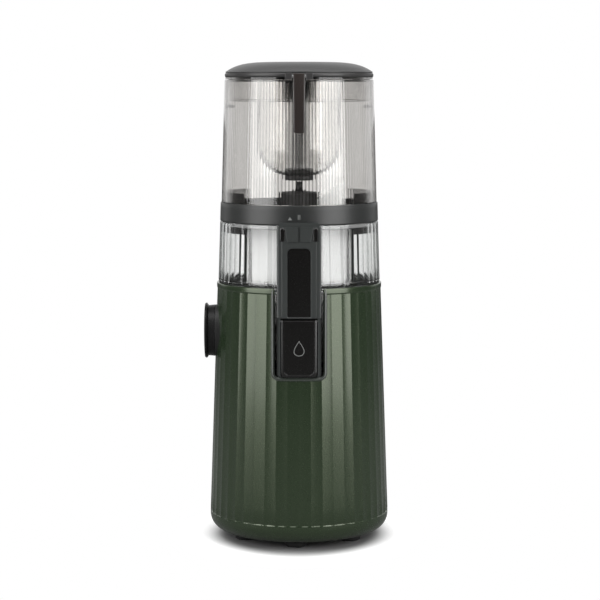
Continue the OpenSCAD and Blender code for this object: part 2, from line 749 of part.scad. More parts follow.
module power_knob() color([0.05, 0.05, 0.05]) knob_axis() {
    difference() {
        translate([0, 0, knob_back]) rotate_extrude() polygon([
            [0, 0], [plinth_r, 0], [plinth_r - 0.6, knob_h - 3.5], [knob_r, knob_h - 2],
            [knob_r, knob_h - 0.8], [knob_r - 0.8, knob_h], [0, knob_h]]);
        for (s = [-1, 1]) translate([0, 0, knob_face - 5]) intersection() {
            cylinder(r = knob_r - 4, h = 5 + cut);
            translate([-knob_r, s > 0 ? 5 : -knob_r - 5, 0]) cube([2 * knob_r, knob_r, 5 + cut]);
        }
    }
    rod(knob_shaft_r, switch_x + shaft_in, knob_back + 2);
}
micro_w = 12;
module interlock_switch() color([0.15, 0.15, 0.15])
    rotate(45) box(well_out_r + 0.8, well_out_r + 7.5, -micro_w / 2, micro_w / 2,
                   z_flange - flange_t - 10, z_flange - flange_t);
gland_r = 7;
z_gland = z_flute + joint_lip_h + gland_r + 0.5;
gland_len = 16;
gland_y = body_r(z_gland) + 1.4;
module cord_gland() color([0.08, 0.08, 0.08])
    translate([0, gland_y, z_gland]) rotate([90, 0, 0]) difference() {
        union() {
            cylinder(r1 = gland_r + 1.2, r2 = gland_r + 2, h = 1);
            translate([0, 0, 1]) cylinder(r = gland_r - nest, h = gland_len - 1);
        }
        translate([0, 0, -cut]) cylinder(r = inlet_r, h = gland_len + 2 * cut);
    }

// ---- juicing bowl ----
z_duct = z_floor + 0.5;
module bowl_hollow()
    rotate_extrude($fn = 2 * $fn) polygon([
        [0, z_floor], [cup_in_r, z_floor], [cup_in_r, z_step + step_t],
        [step_r - bowl_t, z_step + step_t], [step_r - bowl_t, z_rim + 1],
        [bowl_r(z_rim + 4) - bowl_t, z_rim + 4],
        [bowl_r(z_bowl + cut) - bowl_t, z_bowl + cut], [0, z_bowl + cut]]);
// Fluted wall and shoulder, welded onto the narrow cup that stands in the well
module juicing_bowl() color([0.8, 0.82, 0.82, 0.35]) difference() {
    union() {
        rod(step_r, z_step, z_shoulder);
        fluted_frustum(bowl_r_low, bowl_r_top, z_shoulder, z_bowl);
    }
    bowl_hollow();
}
module bowl_cup() color([0.75, 0.78, 0.78, 0.35]) difference() {
    union() {
        difference() {
            rotate_extrude() polygon([
                [0, z_cup], [cup_r - 5, z_cup], [cup_r - 5, z_deck], [cup_r, z_deck],
                [cup_r, z_step], [0, z_step]]);
            bowl_hollow();
        }
        difference() {
            box(-pulp_duct_w - duct_t, pulp_duct_w + duct_t, 0, cup_in_r,
                z_floor - cut, z_floor + pulp_duct_h + duct_t);
            rod(strainer_r_low + strainer_t, z_floor - 2 * cut, z_floor + pulp_duct_h + 2 * duct_t);
        }
    }
    rod(seal_r, z_cup - cut, z_floor + cut);
    box(-duct_w, duct_w, -cup_r - cut, -cup_in_r + 2, z_duct, z_duct + duct_h);
    box(-pulp_duct_w, pulp_duct_w, strainer_r_low - 8, cup_r + cut, z_floor, z_floor + pulp_duct_h);
}
// Thin ring under the shoulder of the bowl, which closes the joint with the housing
module shoulder_gasket() color([0.05, 0.05, 0.05])
    tube(bowl_r_low - flute_d - 0.2, step_r + nest, z_rim + gap, z_shoulder);
screw_hub_r = 9.4;
module shaft_seal() color("darkred") {
    tube(seal_r - nest / 2, screw_hub_r + gap, z_cup, z_floor);
    tube(seal_r + 1.6, screw_hub_r + gap, z_cup - 1, z_cup);
}

// ---- spout frame: a flat front that leans back with the taper of the housing ----
lean = atan((body_r_low - body_r_top) / (z_rim - z_flute));
z_front = z_notch + gap;
front_y = body_r(z_front) + frame_proud;
front_h = z_bowl + 3 - z_front;
pin_down = 2;
cap_side = frame_w - 1.9;
barrel_r = 2;
module front_tilt() translate([0, -front_y, z_front]) rotate([-lean, 0, 0]) children();
// An outline in the leaning front plane, from depth y0 to y1 behind it
module on_front(points, y0, y1)
    translate([0, y1, 0]) rotate([90, 0, 0]) linear_extrude(height = y1 - y0) polygon(points);
flange_out = 1.6;
panel_down = 20;
module spout_frame() color([0.03, 0.03, 0.03]) difference() {
    union() {
        front_tilt() on_front(plate_outline(frame_w + flange_out, 0, z_step - z_front, 2.5, 3),
                              frame_t - 2, frame_t + 0.4);
        front_tilt() difference() {
            on_front(plate_outline(frame_w, 0, front_h, 2.5, 3), 0, frame_t);
            on_front(plate_outline(panel_w, cap_h + 0.8, front_h - panel_down, 5, 1), -cut, panel_d);
            box(-cap_side - gap, cap_side + gap, -cut, cap_t + gap + 0.6, -cut, cap_h + gap);
        }
        box(-duct_w - duct_t, duct_w + duct_t, -front_y + frame_t - 1.2, -cup_r + 3,
            z_duct - duct_t + 1, z_duct + duct_h + duct_t);
    }
    rod(cup_r + nest, z_deck - cut, z_rim);
    cone(bowl_r(z_step) + nest, bowl_r(z_bowl) + nest, z_step - 0.5, z_bowl - gap);
    rod(ring_r_low + gap + 0.1, z_bowl - 2 * gap, z_bowl + 10);
    box(-duct_w, duct_w, -front_y - cut, 0, z_duct, z_duct + duct_h);
    front_tilt() cross_rod(cap_pin_r, -frame_w - cut, frame_w + cut, pin_y, cap_h - pin_down);
}
pin_y = barrel_r + 0.2;
module cap_hinge_pin(x0, x1) cross_rod(cap_pin_r, x0, x1, pin_y, cap_h - pin_down);
// Two short pins in front for the juice cap, two at the back for the pulp cap
pin_in = 5;
module cap_pins() color("silver") {
    front_tilt() {
        cap_hinge_pin(cap_side - pin_in, frame_w);
        cap_hinge_pin(-frame_w, -cap_side + pin_in);
    }
    rear_tilt() {
        rear_pin(pulp_cap_w - pin_in, pulp_w);
        rear_pin(-pulp_w, -pulp_cap_w + pin_in);
    }
}
module cap_plate(w, h, t, r_low) {
    on_front(plate_outline(w, 0, h - pin_down, 0.5, r_low), 0.2, 0.2 + t);
    cross_rod(barrel_r, -w, w, pin_y, h - pin_down);
}
module juice_cap() color([0.03, 0.03, 0.03]) front_tilt() difference() {
    cap_plate(cap_side, cap_h, cap_t, 4);
    on_front(plate_outline(cap_side - 3, 3, cap_h - 6, 2, 2.5), -cut, 0.8);
    for (s = [0, 1]) mirror([s, 0, 0])
        cross_rod(cap_pin_r + fit, cap_side - pin_in - 0.5, cap_side + cut, pin_y, cap_h - pin_down);
}
module juice_cap_seal() color([0.5, 0.5, 0.5]) front_tilt() difference() {
    on_front(plate_outline(duct_w - 1, z_duct + 1 - z_front, z_duct + duct_h - 3 - z_front, 3, 3),
             0.2 + cap_t, 3.6 + cap_t);
    on_front(plate_outline(duct_w - 4, z_duct + 4 - z_front, z_duct + duct_h - 6 - z_front, 2, 2),
             1.6 + cap_t, 4 + cap_t);
}

// ---- pulp spout at the back ----
pulp_cap_h = 30;
pulp_h = z_rim - 3 - z_front;
pulp_cap_w = pulp_w - 1.9;
rear_in = 1.6;
module rear_tilt() mirror([0, 1, 0]) translate([0, -front_y + rear_in, z_front])
    rotate([-lean, 0, 0]) children();
module rear_pin(x0, x1) cross_rod(cap_pin_r, x0, x1, pin_y, pulp_cap_h - pin_down);
module pulp_spout() color([0.04, 0.04, 0.04]) difference() {
    union() {
        rear_tilt() difference() {
            on_front(plate_outline(pulp_w, 0, pulp_h, 2.5, 3), 0, frame_t);
            box(-pulp_cap_w - gap, pulp_cap_w + gap, -cut, cap_t + gap + 0.6, -cut, pulp_cap_h + gap);
        }
        box(-pulp_duct_w - duct_t, pulp_duct_w + duct_t, cup_r - 3, front_y - rear_in - frame_t + 1.4,
            z_floor - duct_t + 0.5, z_floor + pulp_duct_h + duct_t);
    }
    rod(cup_r + nest, z_deck - cut, z_rim);
    cone(step_r + nest, bowl_r_low + nest, z_step - 0.5, z_rim + 4);
    box(-pulp_duct_w, pulp_duct_w, 0, front_y + cut, z_floor, z_floor + pulp_duct_h);
    rear_tilt() rear_pin(-pulp_w - cut, pulp_w + cut);
}
module pulp_cap() color([0.04, 0.04, 0.04]) rear_tilt() difference() {
    cap_plate(pulp_cap_w, pulp_cap_h, cap_t, 4);
    for (s = [0, 1]) mirror([s, 0, 0])
        cross_rod(cap_pin_r + fit, pulp_cap_w - pin_in - 0.5, pulp_cap_w + cut,
                  pin_y, pulp_cap_h - pin_down);
}

// ---- strainer ----
screen_z0 = z_floor + strainer_foot_h;
screen_z1 = z_strainer_top - strainer_head_h;
strainer_bands = 3;
band_w = 3;
band_step = (screen_z1 - screen_z0 - band_w) / strainer_bands;
function screen_out(z) = strainer_r(z) - strainer_t;
module strainer_frame() color([0.75, 0.76, 0.76]) difference() {
    union() {
        cone(strainer_r(z_floor), strainer_r(z_strainer_top), z_floor, z_strainer_top);
        rod(strainer_r_top + 3, z_strainer_top - 2, z_strainer_top);
    }
    cone(screen_out(z_floor - cut), screen_out(z_strainer_top + cut),
         z_floor - cut, z_strainer_top + cut);
    for (b = [0 : strainer_bands - 1], i = [0 : strainer_ribs - 1])
        rotate(360 * (i + 0.5) / strainer_ribs - 90)
            translate([0, 0, screen_z0 + b * band_step + band_w])
                linear_extrude(height = band_step - band_w)
                    polygon(concat([[0, 0]], arc(0, 0, strainer_r_top + 5,
                        -180 / strainer_ribs + 4, 180 / strainer_ribs - 4, 3)));
    box(-pulp_duct_w, pulp_duct_w, 0, strainer_r_top, z_floor + 1, z_floor + pulp_duct_h);
}
module strainer_screen() color([0.82, 0.83, 0.83]) difference() {
    cone(screen_out(screen_z0) - nest / 2, screen_out(screen_z1) - nest / 2, screen_z0, screen_z1);
    cone(screen_out(screen_z0 - cut) - screen_t, screen_out(screen_z1 + cut) - screen_t,
         screen_z0 - cut, screen_z1 + cut);
    ring_of(slots, strainer_r_low - 8, 180 / slots)
        box(0, 20, -slot_w / 2, slot_w / 2, screen_z0 + 4, screen_z1 - 4);
}

// ---- screw ----
flight_root = 7;
turn_step = 12;
z_flight0 = z_screw + flight_root / 2 + 0.5;
z_flight1 = z_strainer_top - 6;
function flight_r(z) = strainer_r(z) - strainer_t - screen_t - 2 * gap;
function core_r(z) = mix(core_r_low, core_r_top, (z - z_screw) / (z_strainer_top - z_screw));
// Corners of a flight's section at share t of its length, from root to edge and back
function flight_section(t, start) =
    let (z = mix(z_flight0, z_flight1, t),
         a = start + 360 * flight_turns * t,
         root = core_r(z) - 3,
         grow = min(1, 12 * t, 8 * (1 - t) + 0.05),
         edge = mix(core_r(z) - 1, flight_r(z), grow))
    [for (p = [[root, -flight_root / 2], [edge, -flight_tip / 2],
               [edge, flight_tip / 2], [root, flight_root / 2]])
        [p[0] * cos(a), p[0] * sin(a), z + p[1]]];
module flight(start) {
    n = round(360 * flight_turns / turn_step);
    points = [for (i = [0 : n]) each flight_section(i / n, start)];
    sides = [for (i = [0 : n - 1], j = [0 : 3])
        [4 * i + j, 4 * i + (j + 1) % 4, 4 * i + 4 + (j + 1) % 4, 4 * i + 4 + j]];
    polyhedron(points, concat([[3, 2, 1, 0]], sides, [[4 * n, 4 * n + 1, 4 * n + 2, 4 * n + 3]]),
               convexity = 6);
}
socket_r = (hex_af + 2 * gap) / sqrt(3);
module auger_screw() color([0.72, 0.73, 0.73]) difference() {
    union() {
        cone(core_r(z_screw), core_r(z_strainer_top), z_screw, z_strainer_top);
        rod(core_r_top, z_strainer_top, z_screw_top);
        rod(screw_hub_r, z_deck + 0.5, z_screw);
        for (i = [0 : flights - 1]) flight(360 * i / flights);
    }
    translate([0, 0, z_deck]) cylinder(r = socket_r, h = hex_into + 2, $fn = 6);
}
// Crown disc with one curved fin that rises outward, clear of the black hub on the disc
crown_t = 4;
z_crown = z_screw_top + crown_t;
screw_top_r = 18.6;
pivot_l = 11;
z_screw_hub = z_pivot - pivot_l;
tip_h = 1.4;
fin_t = 3;
fin_bow = 27;
fin_low = 14;
fin_gap = 1.9;
fin_top = z_guard - fin_gap - z_screw_top;
module cutting_wing() color([0.8, 0.81, 0.8]) {
    rod(crown_r, z_screw_top, z_crown);
    difference() {
        intersection() {
            translate([20, -20, z_crown - 0.5]) difference() {
                cylinder(r = fin_bow, h = fin_top);
                translate([0, 0, -cut]) cylinder(r = fin_bow - fin_t, h = fin_top + 2 * cut);
            }
            rod(crown_r - 0.5, z_screw_top, z_screw_top + fin_top);
            box(0, crown_r, -5, crown_r, z_screw_top, z_screw_top + fin_top);
            rotate([90, 0, 0]) translate([0, 0, -crown_r]) linear_extrude(height = crown_r + 10)
                polygon([[0, z_screw_top], [crown_r, z_screw_top], [crown_r, z_screw_top + fin_top],
                         [fin_low, z_screw_top + fin_low], [0, z_screw_top + fin_low]]);
        }
        rod(screw_top_r + gap, z_screw_top - cut, z_pivot);
    }
}
// Black hub on the crown disc, with the screw's top pivot
module screw_crown() color([0.05, 0.05, 0.05]) rotate_extrude() polygon([
    [0, z_crown], [screw_top_r, z_crown], [screw_top_r, z_screw_hub - 1],
    [screw_top_r - 1, z_screw_hub], [pivot_r + 3, z_screw_hub + 1],
    [pivot_r, z_screw_hub + 4], [pivot_r, z_pivot - tip_h], [0, z_pivot]]);

// ---- hopper ----
shelf_t = 3;
z_shelf = z_bowl + 3;
z_shelf_top = z_shelf + shelf_t;
spigot_d = 4.5;
bayonet_d = 10;
bayonet_x = 50;
guide_x = 8.5;
guide_w = 2.4;
guide_l = 38;
guide_proud = 1.8;
// Spigot under the collar, with a bayonet wing at each side
module hopper_ring() color([0.03, 0.03, 0.03]) {
    rotate_extrude() polygon([
        [feed_r, z_shelf], [spigot_r - 2, z_shelf], [spigot_r - 2, z_bowl - spigot_d],
        [spigot_r, z_bowl - spigot_d], [spigot_r, z_bowl + gap], [ring_r_low, z_bowl + gap],
        [ring_r_top, z_ring], [ring_in_r, z_ring], [ring_in_r, z_shelf_top], [feed_r, z_shelf_top]]);
    for (s = [0, 1]) mirror([s, 0, 0]) intersection() {
        tube(spigot_r - 0.2, spigot_r - 1.8, z_bowl - bayonet_d, z_bowl - spigot_d + cut);
        box(bayonet_x, ring_r_low, -ring_r_low, ring_r_low, z_bowl - bayonet_d, z_bowl);
    }
}
module hopper_gasket() color([0.3, 0.3, 0.3])
    tube(spigot_r + 0.45, spigot_r, z_bowl - spigot_d + 1, z_bowl - 1);
shelf_fall = 4;
floor_out_r = hopper_r(z_ring + floor_rise) - hopper_t - gap;
// Sloped shelves that turn the food to the throat, one at each side of the opening
module hopper_floor() color([0.04, 0.04, 0.04]) for (s = [0, 1]) mirror([s, 0, 0]) intersection() {
    rotate_extrude() polygon([
        [feed_r, z_shelf_top], [ring_in_r - nest, z_shelf_top], [ring_in_r - nest, z_ring],
        [floor_out_r, z_ring + 1], [floor_out_r, z_ring + floor_rise],
        [feed_r, z_ring + floor_rise - shelf_fall]]);
    box(feed_r, hopper_r_low, -hopper_r_low, hopper_r_low, z_shelf_top, z_mouth);
}
module hopper_wall() color([0.35, 0.33, 0.32, 0.5]) difference() {
    fluted_frustum(hopper_r_low, hopper_r_top, z_ring, z_mouth);
    cone(hopper_r(z_ring - cut) - hopper_t, hopper_r(z_mouth + cut) - hopper_t,
         z_ring - cut, z_mouth + cut, $fn = 2 * $fn);
}
// Two upright ribs that guide the latch, on the outside of the hopper wall
module latch_guides() color([0.35, 0.33, 0.32, 0.5]) for (s = [0, 1]) mirror([s, 0, 0])
    difference() {
        box(guide_x, guide_x + guide_w, -hopper_r(z_mouth - guide_l) - guide_proud, -hopper_r_top + 3,
            z_mouth - guide_l, z_mouth - 1);
        cone(hopper_r(z_mouth - guide_l - cut) + nest, hopper_r_top + nest,
             z_mouth - guide_l - cut, z_mouth);
    }
// Lid hinge at the back of the mouth
hinge_y = lid_r + 4.9;
hinge_z = z_lid + 1;
ear_r = 3.5;
ear_x = 8;
ear_w = 4;
module hinge_axis_rod(r, x0, x1) cross_rod(r, x0, x1, hinge_y, hinge_z);
module hinge_bracket() color([0.05, 0.05, 0.05]) difference() {
    union() {
        intersection() {
            tube(hopper_r_top + 4, hopper_r(z_mouth - 18) + nest, z_mouth - 18, z_mouth - 2);
            box(-ear_x - ear_w, ear_x + ear_w, 0, 90, z_mouth - 18, z_mouth);
        }
        for (s = [0, 1]) mirror([s, 0, 0]) {
            hinge_axis_rod(ear_r, ear_x, ear_x + ear_w);
            box(ear_x, ear_x + ear_w, hopper_r_top + 1.6, hinge_y + ear_r - 1, z_mouth - 10, hinge_z);
        }
    }
    hinge_axis_rod(hinge_pin_r + nest / 2, -ear_x - ear_w - cut, ear_x + ear_w + cut);
}
module lid_hinge_pin() color("silver") hinge_axis_rod(hinge_pin_r, -ear_x - ear_w, ear_x + ear_w);
rest_down = 25;
rest_r = 1.5;
rest_l = 5.5;
module lid_rest_pins() color([0.1, 0.1, 0.1]) for (s = [0, 1]) mirror([s, 0, 0])
    cross_rod(rest_r, hopper_r(z_mouth - rest_down) - hopper_t - 0.1 - rest_l,
              hopper_r(z_mouth - rest_down) - hopper_t - 0.1, 0, z_mouth - rest_down);

// ---- lid ----
lid_t = 2.4;
dome_r = lid_r - 0.6;
dome_power = 5.5;
dome_steps = 14;
function dome_z(u) = z_lid_rim + lid_rise * (1 - pow(u, dome_power));
dome_outer = [for (i = [0 : dome_steps]) let (u = i / dome_steps) [dome_r * u, dome_z(u)]];
dome_inner = [for (i = [dome_steps : -1 : 0])
    let (u = i / dome_steps) [(lid_r - lid_t) * u, dome_z(u) - lid_t]];
lug_x = 6.2;
lug_w = 6.6;
lug_down = 2;
lug_up = 4;
latch_y = lid_r + 3.9;
latch_z = z_lid + 1;
latch_pin_r = 1.3;
barrel_front_r = 2.6;
guard_seat_t = 2;
// Lugs for the latch pin; below the rim they stay in front of the skirt
module lid_lugs() difference() {
    for (s = [0, 1]) mirror([s, 0, 0])
        box(lug_x, lug_x + lug_w, -latch_y - 2, -lid_r + 4, z_lid - lug_down, z_lid + lug_up);
    rod(lid_r + nest, z_lid - lug_down - cut, z_lid);
}
module lid_dome() color([0.05, 0.05, 0.05]) difference() {
    union() {
        rotate_extrude() polygon(concat(dome_outer,
            [[lid_r, z_lid], [lid_r - lid_t, z_lid]], dome_inner));
        tube(guard_r, guard_r - guard_seat_t, z_mouth, z_lid_rim + lid_rise - lid_t / 2);
        lid_lugs();
        hinge_axis_rod(ear_r, -ear_x + gap, ear_x - gap);
        box(-ear_x + gap, ear_x - gap, lid_r - 4, hinge_y, z_lid, z_lid + 4);
    }
    hinge_axis_rod(hinge_pin_r + fit, -ear_x, ear_x);
    box(-latch_w - gap, latch_w + gap, -latch_y - 5, -latch_y + barrel_front_r + 0.6,
        z_lid - 5, z_lid_rim);
    cross_rod(latch_pin_r, -lug_x - lug_w + 1, lug_x + lug_w - 1, -latch_y, latch_z);
}
skirt_r = hopper_r_top - hopper_t - 0.9;
skirt_taper = 2.5;
skirt_t = 2;
module lid_skirt() color([0.3, 0.29, 0.28, 0.55]) rotate_extrude() polygon([
    [skirt_r - skirt_t - 5, z_lid], [lid_r - 0.4, z_lid], [lid_r - 0.4, z_mouth + gap],
    [skirt_r, z_mouth + gap], [skirt_r - skirt_taper, z_mouth - skirt_d],
    [skirt_r - skirt_taper - skirt_t, z_mouth - skirt_d],
    [skirt_r - skirt_t, z_mouth - 2], [skirt_r - skirt_t - 5, z_mouth - 2]]);
hub_neck_r = 8;
module feed_guard() color([0.8, 0.8, 0.78, 0.4]) difference() {
    rotate_extrude() polygon(concat(
        [[0, z_guard]],
        arc(guard_r - guard_round, z_guard + guard_round, guard_round, -90, 0, 10),
        [[guard_r, z_mouth], [guard_r - guard_t, z_mouth]],
        arc(guard_r - guard_round, z_guard + guard_round, guard_round - guard_t, 0, -90, 10),
        [[0, z_guard + guard_t]]));
    rod(hub_neck_r + nest, z_guard - cut, z_guard + guard_t + cut);
}
z_hub = z_guard - hub_down;
hub_up = 3.4;
z_hub_top = z_guard + guard_t + hub_up;
// Height of the inner face of the guard cup at radius r
function guard_z(r) = z_guard + guard_round
    - sqrt(pow(guard_round - guard_t, 2) - pow(max(0, r - guard_r + guard_round), 2));
module guard_hub() color([0.04, 0.04, 0.04]) rotate_extrude() polygon([
    [0, z_pivot + gap], [pivot_r + 1, z_hub], [hub_r - 1, z_hub], [hub_r, z_hub + 1],
    [hub_r, z_guard - nest], [hub_neck_r, z_guard - nest], [hub_neck_r, z_guard + guard_t + nest],
    [hub_r, guard_z(hub_r) + nest], [hub_r, z_hub_top - 1], [hub_r - 1, z_hub_top],
    [0, z_hub_top]]);
module centre_post() color([0.55, 0.55, 0.54])
    rod(post_r, z_hub_top, z_lid_rim + lid_rise - lid_t - nest);
module latch_pin() color("silver")
    cross_rod(latch_pin_r, -lug_x - lug_w + 1, lug_x + lug_w - 1, -latch_y, latch_z);
latch_t = 3.4;
latch_back = lid_r + 2.3;
module lid_latch() color([0.08, 0.06, 0.05]) difference() {
    union() {
        cross_rod(barrel_front_r, -latch_w, latch_w, -latch_y, latch_z);
        front_prism(plate_outline(latch_w, z_mouth - latch_l, latch_z, 0.5, 3), latch_back, latch_t);
    }
    cross_rod(latch_pin_r + fit, -latch_w - cut, latch_w + cut, -latch_y, latch_z);
}

body_shell();
body_foot();
base_plate();
rubber_feet();
base_screws();
well_liner();
motor_stator();
motor_windings();
motor_lower_cap();
motor_upper_cap();
motor_bearings();
motor_dampers();
gearbox_housing();
gearbox_lid();
gearbox_screws();
idler_pin();
output_bearing();
control_board();
switch_body();
knob_plinth();
interlock_switch();
cord_gland();
power_knob();
motor_shaft();
motor_rotor();
cooling_fan();
idler_gear();
output_gear();
drive_shaft();
juicing_bowl();
bowl_cup();
shoulder_gasket();
spout_frame();
shaft_seal();
strainer_frame();
strainer_screen();
cap_pins();
pulp_spout();
juice_cap();
juice_cap_seal();
pulp_cap();
auger_screw();
cutting_wing();
screw_crown();
hopper_wall();
latch_guides();
hopper_ring();
hopper_floor();
hopper_gasket();
hinge_bracket();
lid_hinge_pin();
lid_rest_pins();
lid_dome();
lid_skirt();
feed_guard();
guard_hub();
centre_post();
latch_pin();
lid_latch();
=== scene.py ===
import json
import math

import bmesh
import bpy
from mathutils import Matrix, Vector


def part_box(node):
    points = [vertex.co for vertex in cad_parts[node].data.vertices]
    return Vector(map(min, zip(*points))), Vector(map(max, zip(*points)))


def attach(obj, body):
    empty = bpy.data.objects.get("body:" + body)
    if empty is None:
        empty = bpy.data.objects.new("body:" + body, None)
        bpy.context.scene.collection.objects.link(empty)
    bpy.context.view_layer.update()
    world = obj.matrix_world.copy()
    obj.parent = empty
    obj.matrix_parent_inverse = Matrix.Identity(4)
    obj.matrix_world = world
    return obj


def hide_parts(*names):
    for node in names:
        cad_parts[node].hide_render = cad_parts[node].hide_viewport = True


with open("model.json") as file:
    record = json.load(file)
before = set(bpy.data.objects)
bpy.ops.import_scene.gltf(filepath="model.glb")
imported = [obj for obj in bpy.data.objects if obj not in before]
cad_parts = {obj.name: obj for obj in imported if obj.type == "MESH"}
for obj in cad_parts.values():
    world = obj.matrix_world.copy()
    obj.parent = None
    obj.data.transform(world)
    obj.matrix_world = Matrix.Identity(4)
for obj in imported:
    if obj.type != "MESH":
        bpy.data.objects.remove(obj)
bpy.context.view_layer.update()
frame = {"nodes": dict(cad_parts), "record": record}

# The object is in millimetres and build() turns it into metres. Camera and studio are in metres.
# The screw axis is Z and the front is -Y.
MM = 0.001
# Points closer than this, in metres, are one
MERGE = 0.000002


def node_box(node):
    """Lowest and highest corner of a CAD node, in millimetres."""
    low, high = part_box(node)
    return low / MM, high / MM


def node_middle(node):
    """Y and Z of the middle of a CAD node, in millimetres."""
    low, high = node_box(node)
    return (low.y + high.y) / 2, (low.z + high.z) / 2


# ---- sizes that the frame gives ----
Z_UNDER = node_box("base_plate")[0].z
Z_RIM = node_box("body_shell")[1].z
Z_SHOULDER = node_box("shoulder_gasket")[1].z
Z_BOWL = node_box("juicing_bowl")[1].z
Z_COLLAR = node_box("hopper_wall")[0].z
Z_MOUTH = node_box("hopper_wall")[1].z
Z_LID = node_box("lid_skirt")[1].z
Z_APEX = node_box("lid_dome")[1].z
Z_CAP = node_box("juice_cap")[0].z
KNOB_Z = node_middle("power_knob")[1]
GLAND_Z = node_middle("cord_gland")[1]
BODY_R_LOW = node_box("body_shell")[1].x
HOPPER_R_LOW = node_box("hopper_wall")[1].x
LID_R = node_box("lid_dome")[1].x
GUARD_R = node_box("feed_guard")[1].x
FRONT_Y = -node_box("spout_frame")[0].y
# Half widths, from the centre line to a side
FRAME_HALF = node_box("spout_frame")[1].x
CAP_HALF = node_box("juice_cap")[1].x
LATCH_HALF = node_box("lid_latch")[1].x

# ---- sizes of the outside ----
FLUTES = 48
FLUTE_DEPTH = 0.38
Z_FLUTE = Z_UNDER + 17
BODY_R_TOP = 77.6
BODY_WALL = 3.2
BOWL_R_LOW = 76.9
BOWL_R_TOP = 75.0
HOPPER_R_TOP = 70.3
HOPPER_RIBS = 144
WALL = 2.6
LIP_PROUD = 0.6
NOTCH_HALF = 22.4
REAR_HALF = 18.4
NOTCH_R = 4
Z_NOTCH = Z_RIM - 81.5


def mix(a, b, t):
    """The value at share t of the way from a to b."""
    return a + (b - a) * t


def body_r(z):
    """Radius of the housing at height z, over the ridges between its flutes."""
    return mix(BODY_R_LOW, BODY_R_TOP, (z - Z_FLUTE) / (Z_RIM - Z_FLUTE))


def bowl_r(z):
    """The same for the bowl."""
    return mix(BOWL_R_LOW, BOWL_R_TOP, (z - Z_RIM) / (Z_BOWL - Z_RIM))


def hopper_r(z):
    """Outer radius of the hopper at height z."""
    return mix(HOPPER_R_LOW, HOPPER_R_TOP, (z - Z_COLLAR) / (Z_MOUTH - Z_COLLAR))


# ---- camera ----
CAMERA_PLACE = (0.00085, -1.9, 0.430)
# Degrees that it looks down
CAMERA_PITCH = 6.136
CAMERA_LENS = 120


def make_camera():
    """A long lens in front, at the height of the lid."""
    data = bpy.data.cameras.new("camera")
    data.lens = CAMERA_LENS
    data.sensor_width = 36
    camera = bpy.data.objects.new("camera", data)
    camera.location = CAMERA_PLACE
    camera.rotation_euler = (math.radians(90 - CAMERA_PITCH), 0, 0)
    bpy.context.scene.collection.objects.link(camera)
    bpy.context.scene.camera = camera


# ---- node helpers for the materials ----
MATERIALS = {}
# Most of a noise texture's values lie in this range
NOISE_RANGE = (0.3, 0.7)


def new_material(name):
    """Makes a material, keeps it in MATERIALS, and returns its nodes, links and shader."""
    material = bpy.data.materials.new(name)
    material.use_nodes = True
    MATERIALS[name] = material
    nodes = material.node_tree.nodes
    return nodes, material.node_tree.links, nodes["Principled BSDF"]


def noise(nodes, links, scale, detail=3.0, stretch=(1, 1, 1)):
    """Noise over the object's own space, stretched along the axes."""
    place = nodes.new("ShaderNodeTexCoord")
    mapping = nodes.new("ShaderNodeMapping")
    mapping.inputs["Scale"].default_value = stretch
    texture = nodes.new("ShaderNodeTexNoise")
    texture.inputs["Scale"].default_value = scale
    texture.inputs["Detail"].default_value = detail
    links.new(place.outputs["Object"], mapping.inputs["Vector"])
    links.new(mapping.outputs["Vector"], texture.inputs["Vector"])
    return texture.outputs["Fac"]


def axes_of(nodes, links, vector):
    """X, Y and Z of a vector, as outputs of a node."""
    split = nodes.new("ShaderNodeSeparateXYZ")
    links.new(vector, split.inputs["Vector"])
    return split.outputs


def spread(nodes, links, value, low, high):
    """Noise brought to the range from low to high."""
    node = nodes.new("ShaderNodeMapRange")
    node.inputs["From Min"].default_value = NOISE_RANGE[0]
    node.inputs["From Max"].default_value = NOISE_RANGE[1]
    node.inputs["To Min"].default_value = low
    node.inputs["To Max"].default_value = high
    links.new(value, node.inputs["Value"])
    return node.outputs["Result"]


def tone(nodes, links, value, first, second):
    """A colour between first, which may be a link, and second."""
    node = nodes.new("ShaderNodeMix")
    node.data_type = "RGBA"
    if isinstance(first, tuple):
        node.inputs["A"].default_value = (*first, 1)
    else:
        links.new(first, node.inputs["A"])
    node.inputs["B"].default_value = (*second, 1)
    links.new(value, node.inputs["Factor"])
    return node.outputs["Result"]


def smooth_ramp(nodes, links, value, span, low, high):
    """low before span, high after it. low may be a link or a number."""
    ramp = nodes.new("ShaderNodeMapRange")
    ramp.interpolation_type = "SMOOTHSTEP"
    ramp.inputs["From Min"].default_value = span[0]
    ramp.inputs["From Max"].default_value = span[1]
    if isinstance(low, (int, float)):
        ramp.inputs["To Min"].default_value = low
    else:
        links.new(low, ramp.inputs["To Min"])
    ramp.inputs["To Max"].default_value = high
    links.new(value, ramp.inputs["Value"])
    return ramp.outputs["Result"]


def math_node(nodes, links, operation, first, second):
    """A math node. The second value may be a link or a number."""
    node = nodes.new("ShaderNodeMath")
    node.operation = operation
    links.new(first, node.inputs[0])
    if isinstance(second, (int, float)):
        node.inputs[1].default_value = second
    else:
        links.new(second, node.inputs[1])
    return node.outputs["Value"]


def grain(nodes, links, shader, value, height):
    """Fine relief, height in metres."""
    bump = nodes.new("ShaderNodeBump")
    bump.inputs["Strength"].default_value = 1
    bump.inputs["Distance"].default_value = height
    links.new(value, bump.inputs["Height"])
    links.new(bump.outputs["Normal"], shader.inputs["Normal"])


def upright_lines(nodes, links, count, width):
    """1 in count fine upright lines round the axis, 0 between them. width is a share of the pitch."""
    own = axes_of(nodes, links, nodes.new("ShaderNodeTexCoord").outputs["Object"])
    turn = math_node(nodes, links, "ARCTAN2", own["Y"], own["X"])
    pitches = math_node(nodes, links, "MULTIPLY", turn, count / (2 * math.pi))
    saw = math_node(nodes, links, "PINGPONG", pitches, 0.5)
    return smooth_ramp(nodes, links, saw, (0, width), 1, 0)


